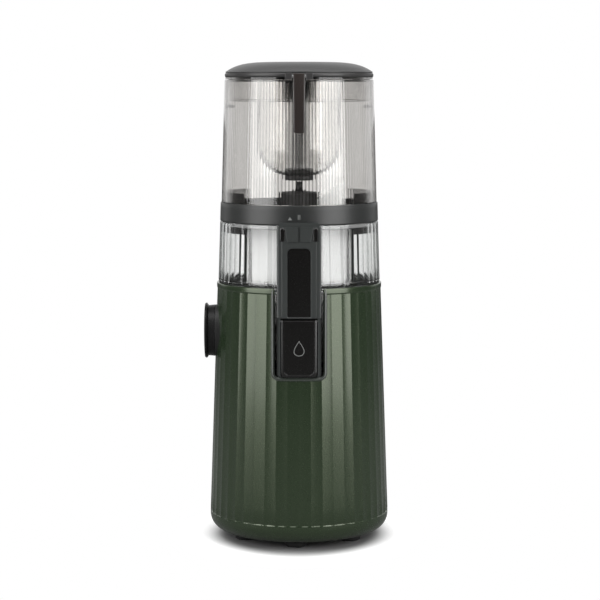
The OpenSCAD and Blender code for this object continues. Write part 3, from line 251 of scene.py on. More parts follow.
def facing(nodes):
    """0 on a wall seen straight on, 1 on one seen along its length."""
    return nodes.new("ShaderNodeLayerWeight").outputs["Facing"]


# ---- kinds of material ----
# Scales of the faint clouds in a plastic and in a clear wall, and of the latter's uneven gloss
CLOUD_SCALE = 18
CLEAR_CLOUD_SCALE = 14
CLEAR_GLOSS_SCALE = 60
# Tone of the clouds in a clear wall, as a share of its tint
CLOUD_TONE = 0.985
COAT_ROUGHNESS = 0.12
METAL_GRAIN = 0.00001
CLEAR_IOR = 1.49
# What a lamp keeps of its light through a clear wall, for a tint of 0 and of 1
LAMP_PASS = (0.75, 0.95)
# Tone and share of the painted dark edge: painted shade for the dark look at the thick side of a clear
# wall
OUTLINE_TONE = 0.02
OUTLINE_SHARE = 0.85


def grey(level):
    """A colour without hue."""
    return (level, level, level)


def plastic(name, dark, light, rough, grain_scale, grain_height, specular=0.5, coat=0.0,
            gloss_tint=(1, 1, 1)):
    """Moulded plastic: a slight tone shift, uneven gloss and a fine grain."""
    nodes, links, shader = new_material(name)
    cloud = noise(nodes, links, CLOUD_SCALE)
    fine = noise(nodes, links, grain_scale, 2)
    links.new(tone(nodes, links, cloud, dark, light), shader.inputs["Base Color"])
    links.new(spread(nodes, links, fine, *rough), shader.inputs["Roughness"])
    shader.inputs["Specular IOR Level"].default_value = specular
    shader.inputs["Coat Weight"].default_value = coat
    shader.inputs["Coat Roughness"].default_value = COAT_ROUGHNESS
    shader.inputs["Specular Tint"].default_value = (*gloss_tint, 1)
    grain(nodes, links, shader, fine, grain_height)


def metal(name, dark, light, rough, stretch, scale):
    """Turned or drawn metal: fine lines along one way."""
    nodes, links, shader = new_material(name)
    lines = noise(nodes, links, scale, 4, stretch)
    links.new(tone(nodes, links, lines, dark, light), shader.inputs["Base Color"])
    links.new(spread(nodes, links, lines, *rough), shader.inputs["Roughness"])
    shader.inputs["Metallic"].default_value = 1
    grain(nodes, links, shader, lines, METAL_GRAIN)


def clear_tint(nodes, links, tint, ribs, edge, top):
    """Colour of a clear wall, with painted shade in its darker lines and low-angle edges, and its darker
    rim.
    """
    cloud = noise(nodes, links, CLEAR_CLOUD_SCALE)
    body = tone(nodes, links, cloud, tint, [c * CLOUD_TONE for c in tint])
    if ribs:
        # painted shade: fine dark lines round the axis for the shade between the ribs
        count, width, dark = ribs
        body = tone(nodes, links, upright_lines(nodes, links, count, width), body, dark)
    if edge:
        # painted shade: darker where the wall is seen at a low angle
        start, end, dark = edge
        low_angle = smooth_ramp(nodes, links, facing(nodes), (start, end), 0, 1)
        body = tone(nodes, links, low_angle, body, dark)
    if top:
        height, dark = top
        own = axes_of(nodes, links, nodes.new("ShaderNodeTexCoord").outputs["Object"])
        span = (height * MM - MERGE, height * MM + MERGE)
        body = tone(nodes, links, smooth_ramp(nodes, links, own["Z"], span, 0, 1), body, dark)
    return body


def painted_outline(nodes, links, seen, span):
    """A shader with a painted dark edge, shade that a thick clear wall shows, over a span of facing()."""
    wall = nodes.new("ShaderNodeBsdfDiffuse")
    wall.inputs["Color"].default_value = (*grey(OUTLINE_TONE), 1)
    lined = nodes.new("ShaderNodeMixShader")
    links.new(smooth_ramp(nodes, links, facing(nodes), span, 0, OUTLINE_SHARE), lined.inputs["Fac"])
    links.new(seen, lined.inputs[1])
    links.new(wall.outputs["BSDF"], lined.inputs[2])
    return lined.outputs["Shader"]


def clear(name, tint, rough, ribs=None, edge=None, top=None, outline=None):
    """Clear moulded plastic. Lamps shine through it, so what is inside is lit.

    ribs is (count, width, darker tint) for fine dark upright lines round the axis, painted shade for the
    shade between the ribs. edge is (start, end, darker tint): painted shade, darker where a wall is seen
    at a low angle, for the longer way of the light through it. top is (height, darker tint) for a solid
    rim above that height. outline is (start, end) of a painted dark edge, the shade at the thick side of
    a wall."""
    nodes, links, shader = new_material(name)
    fine = noise(nodes, links, CLEAR_GLOSS_SCALE, 2)
    links.new(spread(nodes, links, fine, *rough), shader.inputs["Roughness"])
    links.new(clear_tint(nodes, links, tint, ribs, edge, top), shader.inputs["Base Color"])
    shader.inputs["Transmission Weight"].default_value = 1
    shader.inputs["IOR"].default_value = CLEAR_IOR
    seen = shader.outputs["BSDF"]
    # painted shade: a dark edge mixed in where the wall is seen at a low angle
    if outline:
        seen = painted_outline(nodes, links, seen, outline)
    passing = nodes.new("ShaderNodeBsdfTransparent")
    passing.inputs["Color"].default_value = (*[mix(*LAMP_PASS, c) for c in tint], 1)
    rays = nodes.new("ShaderNodeLightPath")
    chosen = nodes.new("ShaderNodeMixShader")
    links.new(rays.outputs["Is Shadow Ray"], chosen.inputs["Fac"])
    links.new(seen, chosen.inputs[1])
    links.new(passing.outputs["BSDF"], chosen.inputs[2])
    links.new(chosen.outputs["Shader"], nodes["Material Output"].inputs["Surface"])


# ---- the materials: darkest and lightest tone, range of roughness, then the grain ----
def dark_plastics():
    """Green, black and dark grey mouldings, and the feet."""
    plastic("housing_green", (0.0122, 0.0215, 0.0102), (0.0152, 0.0262, 0.0126), (0.22, 0.28), 900,
            0.000003, specular=0.55, coat=0.3, gloss_tint=(0.88, 1, 0.72))
    # A lighter copy of the housing green for the notch lips: painted highlight for the light their
    # rounded faces catch
    plastic("lip_green_highlight", (0.030, 0.036, 0.030), (0.038, 0.045, 0.038), (0.22, 0.28), 900, 0.000003,
            specular=0.6, coat=0.3)
    plastic("black_plastic", grey(0.010), grey(0.014), (0.42, 0.55), 1500, 0.00002)
    plastic("dark_plastic", (0.016, 0.018, 0.016), (0.022, 0.024, 0.022), (0.45, 0.6), 1500, 0.00002)
    plastic("post_dark", (0.022, 0.025, 0.023), (0.030, 0.033, 0.031), (0.8, 0.9), 1500, 0.00001,
            specular=0.05)
    plastic("foot_rubber", grey(0.008), grey(0.014), (0.65, 0.8), 1200, 0.00003, specular=0.3)
    plastic("knob_black", grey(0.008), grey(0.011), (0.32, 0.42), 1400, 0.00001, specular=0.2)
    plastic("black_gloss", (0.0040, 0.0038, 0.0036), (0.0056, 0.0053, 0.0050), (0.20, 0.28), 1400,
            0.000004)
    plastic("frame_grey", (0.026, 0.029, 0.028), (0.034, 0.037, 0.036), (0.30, 0.40), 1400, 0.000004)
    plastic("collar_grey", (0.012, 0.013, 0.0125), (0.017, 0.018, 0.0175), (0.34, 0.44), 1400, 0.000005)
    plastic("lid_smoke", grey(0.050), grey(0.064), (0.36, 0.46), 1200, 0.000005)
    plastic("lid_black", (0.024, 0.023, 0.023), (0.032, 0.031, 0.031), (0.34, 0.44), 1200, 0.000005)
    plastic("latch_brown", (0.014, 0.010, 0.009), (0.019, 0.014, 0.012), (0.30, 0.40), 1200, 0.00001)


def light_plastics():
    """Marks, seals, gears, board, and the parts that work on the fruit."""
    plastic("mark_grey", (0.15, 0.155, 0.15), (0.18, 0.185, 0.18), (0.35, 0.45), 1400, 0.000004)
    plastic("seal_rubber", grey(0.20), grey(0.26), (0.6, 0.75), 900, 0.00002, specular=0.3)
    plastic("gear_nylon", (0.66, 0.62, 0.50), (0.76, 0.73, 0.62), (0.35, 0.5), 600, 0.00001)
    plastic("board_green", (0.012, 0.09, 0.03), (0.02, 0.15, 0.05), (0.3, 0.4), 300, 0.00001)
    plastic("screen_grey", (0.42, 0.42, 0.415), (0.48, 0.48, 0.475), (0.34, 0.46), 1100, 0.000008)
    plastic("screw_grey", (0.44, 0.45, 0.45), (0.52, 0.53, 0.53), (0.38, 0.5), 1100, 0.000012)
    plastic("wing_grey", (0.62, 0.63, 0.62), (0.72, 0.73, 0.72), (0.28, 0.38), 1100, 0.000008)
    plastic("post_grey", grey(0.07), grey(0.10), (0.25, 0.35), 1100, 0.000008)


def metals():
    """The metals of motor, gearbox, shafts, pins and screws."""
    metal("steel", (0.50, 0.50, 0.51), (0.66, 0.66, 0.67), (0.22, 0.38), (1, 1, 12), 300)
    metal("core_steel", (0.16, 0.17, 0.19), (0.28, 0.29, 0.31), (0.35, 0.5), (1, 1, 60), 120)
    metal("copper", (0.55, 0.22, 0.08), (0.80, 0.38, 0.16), (0.25, 0.45), (1, 1, 30), 160)
    metal("aluminium", (0.48, 0.49, 0.50), (0.62, 0.63, 0.64), (0.45, 0.6), (1, 1, 1), 700)


def clear_plastics():
    """Bowl, hopper and the clear parts of the lid."""
    # edge and ribs below paint shade into the tint of a wall; outline adds a painted dark edge
    clear("clear_bowl", (0.95, 0.955, 0.95), (0, 0.01), edge=(0.36, 0.80, (0.46, 0.49, 0.47)))
    clear("smoky_hopper", (0.885, 0.875, 0.86), (0, 0.01), edge=(0.42, 0.85, (0.40, 0.39, 0.38)),
          ribs=(HOPPER_RIBS, 0.26, (0.46, 0.45, 0.44)))
    clear("smoky_skirt", (0.975, 0.97, 0.965), (0, 0.01), edge=(0.75, 0.98, (0.45, 0.44, 0.43)),
          top=(Z_MOUTH + 0.1, (0.22, 0.215, 0.21)))
    clear("clear_guard", (0.97, 0.965, 0.955), (0, 0.01), outline=(0.80, 0.94))
    # Grey of the sheets beside the post: painted shade
    clear("fin_shade_grey", grey(0.72), (0.15, 0.25))
    # Dark tint of the edge lines of the lid: painted shade
    clear("edge_shade_smoke", (0.12, 0.115, 0.11), (0.02, 0.05))


# ---- mesh helpers ----
# Degrees past which an edge stays sharp: usual, on plates, on fluted walls, on the hopper
SHARP = 30
PLATE_SHARP = 25
FLUTE_SHARP = 24
RIB_SHARP = 18


def settle(mesh, sharp):
    """Joins doubled points, turns the faces outward and smooths all but the edges past sharp degrees."""
    work = bmesh.new()
    work.from_mesh(mesh)
    bmesh.ops.remove_doubles(work, verts=work.verts, dist=MERGE)
    bmesh.ops.recalc_face_normals(work, faces=work.faces)
    work.to_mesh(mesh)
    work.free()
    mesh.shade_smooth()
    mesh.set_sharp_from_angle(angle=math.radians(sharp))


def build(name, points, faces, body, slot, stands_for=(), sharp=SHARP, place=None, look=None):
    """A piece from points in millimetres. place is a matrix in millimetres too, look another material."""
    if place is not None:
        points = [place @ Vector(p) for p in points]
    mesh = bpy.data.meshes.new(name)
    mesh.from_pydata([Vector(p) * MM for p in points], [], faces)
    settle(mesh, sharp)
    piece = bpy.data.objects.new(name, mesh)
    bpy.context.scene.collection.objects.link(piece)
    mesh.materials.append(MATERIALS[look or slot])
    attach(piece, body)
    if stands_for:
        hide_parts(*stands_for)
    return piece


def bevel(piece, width, segments=2, angle=35):
    """Rounds the edges past angle degrees, width in millimetres."""
    rounding = piece.modifiers.new("bevel", "BEVEL")
    rounding.width = width * MM
    rounding.segments = segments
    rounding.limit_method = "ANGLE"
    rounding.angle_limit = math.radians(angle)
    piece.modifiers.new("even", "WEIGHTED_NORMAL").keep_sharp = True


def ring_faces(rows, columns, loop):
    """Quads between rows of points that are closed rings. loop joins the last row to the first too."""
    faces = []
    for i in range(rows if loop else rows - 1):
        a, b = i * columns, (i + 1) % rows * columns
        for j in range(columns):
            k = (j + 1) % columns
            faces.append((a + j, a + k, b + k, b + j))
    return faces


def capped_faces(rows, columns):
    """Quads of a tube of rings, with a face over each of its ends."""
    last = (rows - 1) * columns
    return ring_faces(rows, columns, False) + [tuple(range(columns)), tuple(range(last, last + columns))]


def lathe(name, profile, body, slot, stands_for=(), columns=192, loop=True, shape=None, look=None):
    """A body turned about Z from (radius, height) pairs. shape(r, angle, z) may change a radius."""
    points = []
    for r, z in profile:
        for j in range(columns):
            a = 2 * math.pi * j / columns - math.pi / 2
            rr = shape(r, a, z) if shape else r
            points.append((rr * math.cos(a), rr * math.sin(a), z))
    faces = ring_faces(len(profile), columns, loop)
    return build(name, points, faces, body, slot, stands_for, look=look)


def arc(x, y, r, a0, a1, steps=6):
    """Points of an arc from a0 to a1 degrees."""
    found = []
    for i in range(steps + 1):
        a = math.radians(mix(a0, a1, i / steps))
        found.append((x + r * math.cos(a), y + r * math.sin(a)))
    return found


def rounded_box(half, low, top, r_top, r_low):
    """Outline in X and Z of a plate, with its upper and lower corners rounded."""
    return (arc(half - r_top, top - r_top, r_top, 0, 90)
            + arc(r_top - half, top - r_top, r_top, 90, 180)
            + arc(r_low - half, low + r_low, r_low, 180, 270)
            + arc(half - r_low, low + r_low, r_low, 270, 360))


def u_outline(half, low, top, r):
    """A U with an open top, from its upper left end round to its upper right end."""
    return ([(-half, top)] + arc(r - half, low + r, r, 180, 270, 8)
            + arc(half - r, low + r, r, 270, 360, 8) + [(half, top)])


def rectangle(x0, x1, z0, z1):
    """Corners of a rectangle."""
    return [(x0, z0), (x1, z0), (x1, z1), (x0, z1)]


def prism(outline, y0, y1):
    """Points and faces of an outline in X and Z, drawn from y0 to y1."""
    return [(x, y, z) for y in (y0, y1) for x, z in outline], capped_faces(2, len(outline))


def block(x0, x1, y0, y1, z0, z1):
    """Points and faces of a box."""
    return prism(rectangle(x0, x1, z0, z1), y0, y1)


def cylinder_x(r, x0, x1, y, z, steps):
    """Points and faces of a cylinder along X."""
    turns = [2 * math.pi * i / steps for i in range(steps)]
    points = [(x, y + r * math.cos(a), z + r * math.sin(a)) for x in (x0, x1) for a in turns]
    return points, capped_faces(2, steps)


def joined(*shapes):
    """Several (points, faces) shapes as one."""
    points, faces = [], []
    for more, loops in shapes:
        faces += [tuple(i + len(points) for i in loop) for loop in loops]
        points += more
    return points, faces


def layered(name, layers, body, slot, stands_for=(), place=None, look=None):
    """A plate from outlines of equal length, each at its own depth behind the front."""
    points = [(x, depth, z) for outline, depth in layers for x, z in outline]
    faces = capped_faces(len(layers), len(layers[0][0]))
    build(name, points, faces, body, slot, stands_for, PLATE_SHARP, place, look)


def stacked(outline, steps):
    """Layers of outline(inset) at each (inset, depth) of steps."""
    return [(outline(inset), depth) for inset, depth in steps]


BAR_STEPS = 24
BAR_EDGE = 0.3


def curved_bars(middles, radii, heights, span, body, slot, look=None):
    """Bars bent round the axis. middles gives the name of each and the angle of its middle from +X,
    and it reaches span degrees to both sides."""
    for name, middle in middles.items():
        points = []
        for i in range(BAR_STEPS + 1):
            a = math.radians(mix(middle - span, middle + span, i / BAR_STEPS))
            points += [(r * math.cos(a), r * math.sin(a), z) for r, z in rectangle(*radii, *heights)]
        bar = build(name, points, capped_faces(BAR_STEPS + 1, 4), body, slot, look=look)
        bevel(bar, BAR_EDGE)


def cut_away(piece, cutters, sharp):
    """Cuts closed (points, faces) shapes out of a piece and keeps the result as its mesh."""
    made = []
    for points, faces in cutters:
        mesh = bpy.data.meshes.new("cutter")
        mesh.from_pydata([Vector(p) * MM for p in points], [], faces)
        settle(mesh, SHARP)
        cutter = bpy.data.objects.new("cutter", mesh)
        bpy.context.scene.collection.objects.link(cutter)
        hole = piece.modifiers.new("hole", "BOOLEAN")
        hole.operation = "DIFFERENCE"
        hole.solver = "EXACT"
        hole.object = cutter
        made.append(cutter)
    graph = bpy.context.evaluated_depsgraph_get()
    result = bpy.data.meshes.new_from_object(piece.evaluated_get(graph))
    piece.modifiers.clear()
    piece.data = result
    for cutter in made:
        bpy.data.objects.remove(cutter)
    result.shade_smooth()
    result.set_sharp_from_angle(angle=math.radians(sharp))


# ---- fluted walls ----
# Share of a flute at each column. The two ends are close to a ridge, which rounds it a little.
RIDGE_STEPS = (0, 0.03, 0.12, 0.24, 0.37, 0.5, 0.63, 0.76, 0.88, 0.97)


def fluted_ring(r, z, depth):
    """Points of one level. The first ridge lies on the front centre line."""
    points = []
    for k in range(FLUTES):
        for u in RIDGE_STEPS:
            a = math.radians(-90 + 360 * (k + u) / FLUTES)
            rr = r - 4 * depth * u * (1 - u)
            points.append((rr * math.cos(a), rr * math.sin(a), z))
    return points


def fluted_body(name, rows, body, slot, stands_for):
    """A closed wall from (radius, height, depth of the flutes) rows."""
    points = []
    for row in rows:
        points += fluted_ring(*row)
    faces = ring_faces(len(rows), FLUTES * len(RIDGE_STEPS), True)
    return build(name, points, faces, body, slot, stands_for, FLUTE_SHARP)


# ---- motor housing ----
FOOT_ROUND = 14.5
FOOT_RIM_R = BODY_R_LOW - 0.15
PLATE_R = node_box("base_plate")[1].x + 0.1
PLATE_SEAT_W = 8
PLATE_SEAT_H = 3
Z_FOOT_INSIDE = Z_UNDER + 7
FOOT_LIP_H = 2.5
FOOT_LIP_T = 1.6
LEDGE_DEPTH = 0.9
FLUTE_ROWS = 14
BAND_H = 5.5
BAND_R = BODY_R_TOP + LIP_PROUD
RIM_ROUND = 0.8
# How far under the top edge its rounding has points
RIM_STEPS = (0, 0.12, 0.3, 0.55, RIM_ROUND)
# The shell is cut this far outside the notches, and the lip fills the gap
NOTCH_SPARE = 0.6
PLINTH_R = 24.6
GLAND_R = 7
# Distances from the axis between which the cutters pass through the wall
CUT_NEAR = 40
CUT_FAR = 120


def rim_drop(z):
    """How far the rounded top edge falls back at height z."""
    over = max(0, z - (Z_RIM - RIM_ROUND))
    return RIM_ROUND - math.sqrt(max(0, RIM_ROUND**2 - over**2))


def housing_foot():
    """Smooth rounded foot under the flutes, with the lip that centres the housing on it."""
    z_lip = Z_FLUTE + FOOT_LIP_H
    lip_r = body_r(z_lip) - BODY_WALL - 0.1
    seat_r = PLATE_R - PLATE_SEAT_W
    z_seat = Z_UNDER + PLATE_SEAT_H
    profile = [(PLATE_R, Z_UNDER)]
    profile += arc(FOOT_RIM_R - FOOT_ROUND, Z_UNDER + FOOT_ROUND, FOOT_ROUND, -84, 0, 20)
    profile += [(FOOT_RIM_R, Z_FLUTE), (lip_r, Z_FLUTE), (lip_r, z_lip), (lip_r - FOOT_LIP_T, z_lip),
                (lip_r - FOOT_LIP_T, Z_FLUTE - 2.5), (FOOT_RIM_R - 9, Z_FOOT_INSIDE),
                (seat_r, Z_FOOT_INSIDE), (seat_r, z_seat), (PLATE_R, z_seat)]
    lathe("housing_foot", profile, "base", "housing_green", ("body_foot",), columns=240)


def notch_cutter(half, y0, y1):
    """Shape of a notch, drawn through the wall from y0 to y1."""
    spare = NOTCH_SPARE
    return prism(u_outline(half + spare, Z_NOTCH - spare, Z_RIM + 5, NOTCH_R + spare), y0, y1)


def housing_shell():
    """Fluted wall with the ledge where the flutes run out, the rim band, both notches and two holes."""
    low_r = body_r(Z_FLUTE)
    z_band = Z_RIM - BAND_H
    rows = [(low_r - BODY_WALL, Z_FLUTE, 0), (low_r - 1, Z_FLUTE, 0), (low_r - 0.2, Z_FLUTE, 0),
            (low_r - 0.1, Z_FLUTE + 0.1, 0), (low_r - 0.1, Z_FLUTE + 0.9, LEDGE_DEPTH)]
    for i in range(FLUTE_ROWS + 1):
        z = mix(Z_FLUTE + 1.2, z_band - 0.1, i / FLUTE_ROWS)
        rows.append((body_r(z), z, LEDGE_DEPTH if i == 0 else FLUTE_DEPTH))
    rows += [(BAND_R - 0.25, z_band + 0.25, 0), (BAND_R, z_band + 0.9, 0)]
    for z in (z_band + 1.2, z_band + 3, *[Z_RIM - down for down in reversed(RIM_STEPS)]):
        rows.append((BAND_R - rim_drop(z), z, 0))
    rows.append((body_r(Z_RIM) - BODY_WALL, Z_RIM, 0))
    shell = fluted_body("housing_shell", rows, "base", "housing_green", ("body_shell",))
    front = notch_cutter(NOTCH_HALF, -CUT_FAR, -CUT_NEAR)
    rear = notch_cutter(REAR_HALF, CUT_NEAR, CUT_FAR)
    knob_hole = cylinder_x(PLINTH_R + 0.1, -CUT_FAR, -CUT_NEAR, 0, KNOB_Z, 96)
    points, faces = cylinder_x(GLAND_R, CUT_NEAR, CUT_FAR, 0, 0, 48)
    gland_hole = [(y, x, z + GLAND_Z) for x, y, z in points], faces
    cut_away(shell, [front, rear, knob_hole, gland_hole], FLUTE_SHARP)


LIP_W = 3.5
# Section of the lip: (distance out from the notch, height over the flutes)
LIP_SECTION = [(0, -BODY_WALL), (0, LIP_PROUD - 1.5), (0.15, LIP_PROUD - 1.0), (0.5, LIP_PROUD - 0.5),
               (1.0, LIP_PROUD - 0.15), (1.6, LIP_PROUD), (2.2, LIP_PROUD), (2.8, LIP_PROUD - 0.15),
               (3.2, LIP_PROUD - 0.45), (LIP_W, LIP_PROUD - 0.9), (LIP_W, -BODY_WALL + 1)]
LIP_BEND = 10


def lip_path(half):
    """(x, z, and the way out from the notch in x and z) along the edge of a notch."""
    path = [(-half, Z_RIM - down, -1, 0) for down in (*RIM_STEPS, 3, 20, 50)]
    for i, (x, z) in enumerate(arc(NOTCH_R - half, Z_NOTCH + NOTCH_R, NOTCH_R, 180, 270, LIP_BEND)):
        a = math.radians(mix(180, 270, i / LIP_BEND))
        path.append((x, z, math.cos(a), math.sin(a)))
    path += [(mix(NOTCH_R - half, 0, t), Z_NOTCH, 0, -1) for t in (0.25, 0.5, 0.75, 1)]
    return path + [(-x, z, -nx, nz) for x, z, nx, nz in reversed(path[:-1])]


def notch_lip(name, half, front):
    """Raised lip swept down one side of a notch, round its bottom and up the other side."""
    path = lip_path(half)
    points = []
    for x, z, nx, nz in path:
        for out, height in LIP_SECTION:
            px, pz = x + nx * out, z + nz * out
            r = body_r(pz) + height - (rim_drop(z) if height > 0 else 0)
            y = math.sqrt(r * r - px * px)
            points.append((px, -y if front else y, pz))
    # The lip takes the lighter green: painted highlight
    build(name, points, capped_faces(len(path), len(LIP_SECTION)), "base", "housing_green", sharp=50,
          look="lip_green_highlight")


# ---- clear bowl ----
CUP_R = 58
STEP_R = BODY_R_TOP - BODY_WALL - 0.6
SHAFT_SEAL_R = 13


def clear_bowl():
    """The fluted bowl with its shoulder, and the cup that stands in the well of the housing."""
    z_cup = node_box("bowl_cup")[0].z
    z_floor = z_cup + 5
    z_step = Z_RIM - 6
    rows = [(SHAFT_SEAL_R, z_cup + 2, 0), (CUP_R - 5, z_cup + 2, 0), (CUP_R - 5, z_cup, 0),
            (CUP_R - 1, z_cup, 0), (CUP_R, z_cup + 1, 0), (CUP_R, z_step - 1, 0), (CUP_R + 1, z_step, 0),
            (STEP_R - 1, z_step, 0), (STEP_R, z_step + 1, 0), (STEP_R, Z_SHOULDER - 0.3, 0),
            (BOWL_R_LOW - 1.2, Z_SHOULDER, 0), (BOWL_R_LOW - 0.5, Z_SHOULDER, FLUTE_DEPTH)]
    for t in (0.012, 0.3, 0.6, 0.9, 0.985):
        z = mix(Z_SHOULDER, Z_BOWL, t)
        rows.append((bowl_r(z), z, FLUTE_DEPTH))
    rows += [(BOWL_R_TOP - 0.5, Z_BOWL, FLUTE_DEPTH), (BOWL_R_TOP - WALL + 0.4, Z_BOWL, 0),
             (BOWL_R_TOP - WALL, Z_BOWL - 0.4, 0), (bowl_r(Z_RIM + 4) - WALL, Z_RIM + 4, 0),
             (STEP_R - WALL, Z_RIM + 1, 0), (STEP_R - WALL, z_step + 4, 0),
             (STEP_R - WALL - 1, z_step + 3, 0), (CUP_R - WALL + 1, z_step + 3, 0),
             (CUP_R - WALL, z_step + 2, 0), (CUP_R - WALL, z_floor + 2, 0),
             (CUP_R - WALL - 2, z_floor, 0), (SHAFT_SEAL_R, z_floor, 0)]
    fluted_body("clear_bowl", rows, "bowl", "clear_bowl", ("juicing_bowl", "bowl_cup"))


STRAINER_R = node_box("strainer_screen")[1].x + 1.6
# Distances of a post's two faces from the strainer
POST_FACES = (0.5, 5.5)
# Half the angle of a post, in degrees
POST_SPAN = 17


def strainer_posts():
    """Two dark uprights on the outside of the strainer, in the clear part of the bowl."""
    radii = [STRAINER_R + out for out in POST_FACES]
    heights = (Z_RIM + 1, node_box("strainer_frame")[1].z - 2.2)
    curved_bars({"strainer_post_left": 180, "strainer_post_right": 0}, radii, heights, POST_SPAN,
                "bowl", "screen_grey", "post_dark")


# ---- hopper ----
RIB_DEPTH = 0.07
RIB_COLUMNS = 5
# Shares of the height at which the wall has points. The first and the last are its rounded ends.
HOPPER_LEVELS = (0, 0.004, 0.008, 0.5, 0.992, 0.996, 1)


def ribbed_ring(r, z, depth):
    """Points of one level with HOPPER_RIBS fine upright ribs, a groove on the front centre line."""
    points, columns = [], HOPPER_RIBS * RIB_COLUMNS
    for j in range(columns):
        a = 2 * math.pi * j / columns - math.pi / 2
        rr = r - depth * (0.5 + 0.5 * math.cos(2 * math.pi * j / RIB_COLUMNS))
        points.append((rr * math.cos(a), rr * math.sin(a), z))
    return points


def hopper_shell():
    """The clear wall of the hopper: ribbed outside, smooth inside."""
    levels = [(mix(Z_COLLAR, Z_MOUTH, t), t in (0, 1)) for t in HOPPER_LEVELS]
    points = []
    for z, end in levels:
        points += ribbed_ring(hopper_r(z) - 0.5 * end, z, RIB_DEPTH)
    for z, end in reversed(levels):
        points += ribbed_ring(hopper_r(z) - WALL + 0.4 * end, z, 0)
    faces = ring_faces(2 * len(HOPPER_LEVELS), HOPPER_RIBS * RIB_COLUMNS, True)
    build("hopper_shell", points, faces, "hopper", "smoky_hopper", ("hopper_wall",), RIB_SHARP)


# ---- collar ----
COLLAR_R_TOP = 74.5
COLLAR_FEED_R = 50
Z_COLLAR_LOW = Z_BOWL + 0.3
Z_SHELF = Z_BOWL + 6
SHELF_T = 3
# The spigot is the ring under the collar that stands in the mouth of the bowl
SPIGOT_R = BOWL_R_TOP - WALL - 0.8
SPIGOT_T = 2
Z_SPIGOT = Z_BOWL - 4.5
# Angles of the slot in degrees from +X, and its heights over the collar's lower edge
SLOT_ANGLES = (-132, -98)
SLOT_HEIGHTS = (3.2, 5.6)
SLOT_DEPTH = 0.7
# Half the angle of a bayonet lug, in degrees
BAYONET_SPAN = 45.7


def window(value, low, high, edge):
    """1 between low and high, falling to 0 over edge outside them."""
    return max(0, min(1, (value - low) / edge + 1, (high - value) / edge + 1))


def slotted(r, a, z):
    """Radius of the collar, with the slot sunk into its outside."""
    if r < BOWL_R_TOP - 2:
        return r
    depth = window(math.degrees(a), *SLOT_ANGLES, 0.5) * window(z - Z_COLLAR_LOW, *SLOT_HEIGHTS, 0.35)
    return r - SLOT_DEPTH * depth


def collar():
    """The ring between bowl and hopper, with a shelf round the feed opening and a spigot below."""
    in_r = HOPPER_R_LOW - WALL - 1.5
    height = Z_COLLAR - Z_COLLAR_LOW
    profile = [(SPIGOT_R - SPIGOT_T, Z_SPIGOT), (SPIGOT_R - 0.4, Z_SPIGOT), (SPIGOT_R, Z_SPIGOT + 0.6),
               (SPIGOT_R, Z_COLLAR_LOW), (BOWL_R_TOP - 0.7, Z_COLLAR_LOW),
               (BOWL_R_TOP - 0.2, Z_COLLAR_LOW + 0.2)]
    profile += [(mix(BOWL_R_TOP, COLLAR_R_TOP, up / height), Z_COLLAR_LOW + up)
                for up in (0.6, 1.2, SLOT_HEIGHTS[0] - 0.4, *SLOT_HEIGHTS, SLOT_HEIGHTS[1] + 0.4, 9, 13,
                           height - 0.9)]
    profile += [(COLLAR_R_TOP - 0.2, Z_COLLAR - 0.35), (COLLAR_R_TOP - 0.8, Z_COLLAR), (in_r, Z_COLLAR),
                (in_r, Z_SHELF), (COLLAR_FEED_R, Z_SHELF), (COLLAR_FEED_R, Z_SHELF - SHELF_T),
                (SPIGOT_R - SPIGOT_T, Z_SHELF - SHELF_T)]
    lathe("collar", profile, "hopper", "black_gloss", ("hopper_ring",), columns=720,
          shape=slotted, look="collar_grey")


def bayonets():
    """Two lugs under the spigot that lock the hopper to the bowl."""
    radii = (SPIGOT_R - 1.8, SPIGOT_R - 0.2)
    heights = (node_box("hopper_ring")[0].z, Z_SPIGOT + 0.5)
    curved_bars({"bayonet_right": 0, "bayonet_left": 180}, radii, heights, BAYONET_SPAN,
                "hopper", "black_gloss")


MARK_PROUD = 0.35


def collar_marks():
    """Plain alignment marks in front: a triangle and two bars."""
    z0 = Z_BOWL + 5
    pointer = [(-10.4, z0), (-6.4, z0), (-8.4, z0 + 3)]
    line = rectangle(0.4, 1.1, z0 - 2, z0 + 5)
    bar = rectangle(-1.1, -0.4, z0 - 2, z0 + 5)
    for word, outline in (("pointer", pointer), ("line", line), ("bar", bar)):
        mark = prism(outline, -COLLAR_R_TOP - MARK_PROUD, 1.5 - COLLAR_R_TOP)
        build("collar_" + word, *mark, "hopper", "black_gloss", look="mark_grey")


# ---- lid ----
DOME_POWER = 5.5
DOME_STEPS = 24
# The rows of the dome crowd toward its rim by this power
DOME_CROWD = 1.6
LID_WALL = 2.4
Z_LID_TOP = Z_LID + 5.2
LUG_X = (6.2, 12.8)
LATCH_PIN_R = 1.3
LATCH_PIN_Y = -node_box("latch_pin")[0].y - LATCH_PIN_R
KNUCKLE_R = 3.5
KNUCKLE_HALF = 7.7
GUARD_SEAT_W = 2


def dome_z(share):
    """Height of the dome at a share of its radius."""
    return Z_LID_TOP + (Z_APEX - Z_LID_TOP) * (1 - share**DOME_POWER)


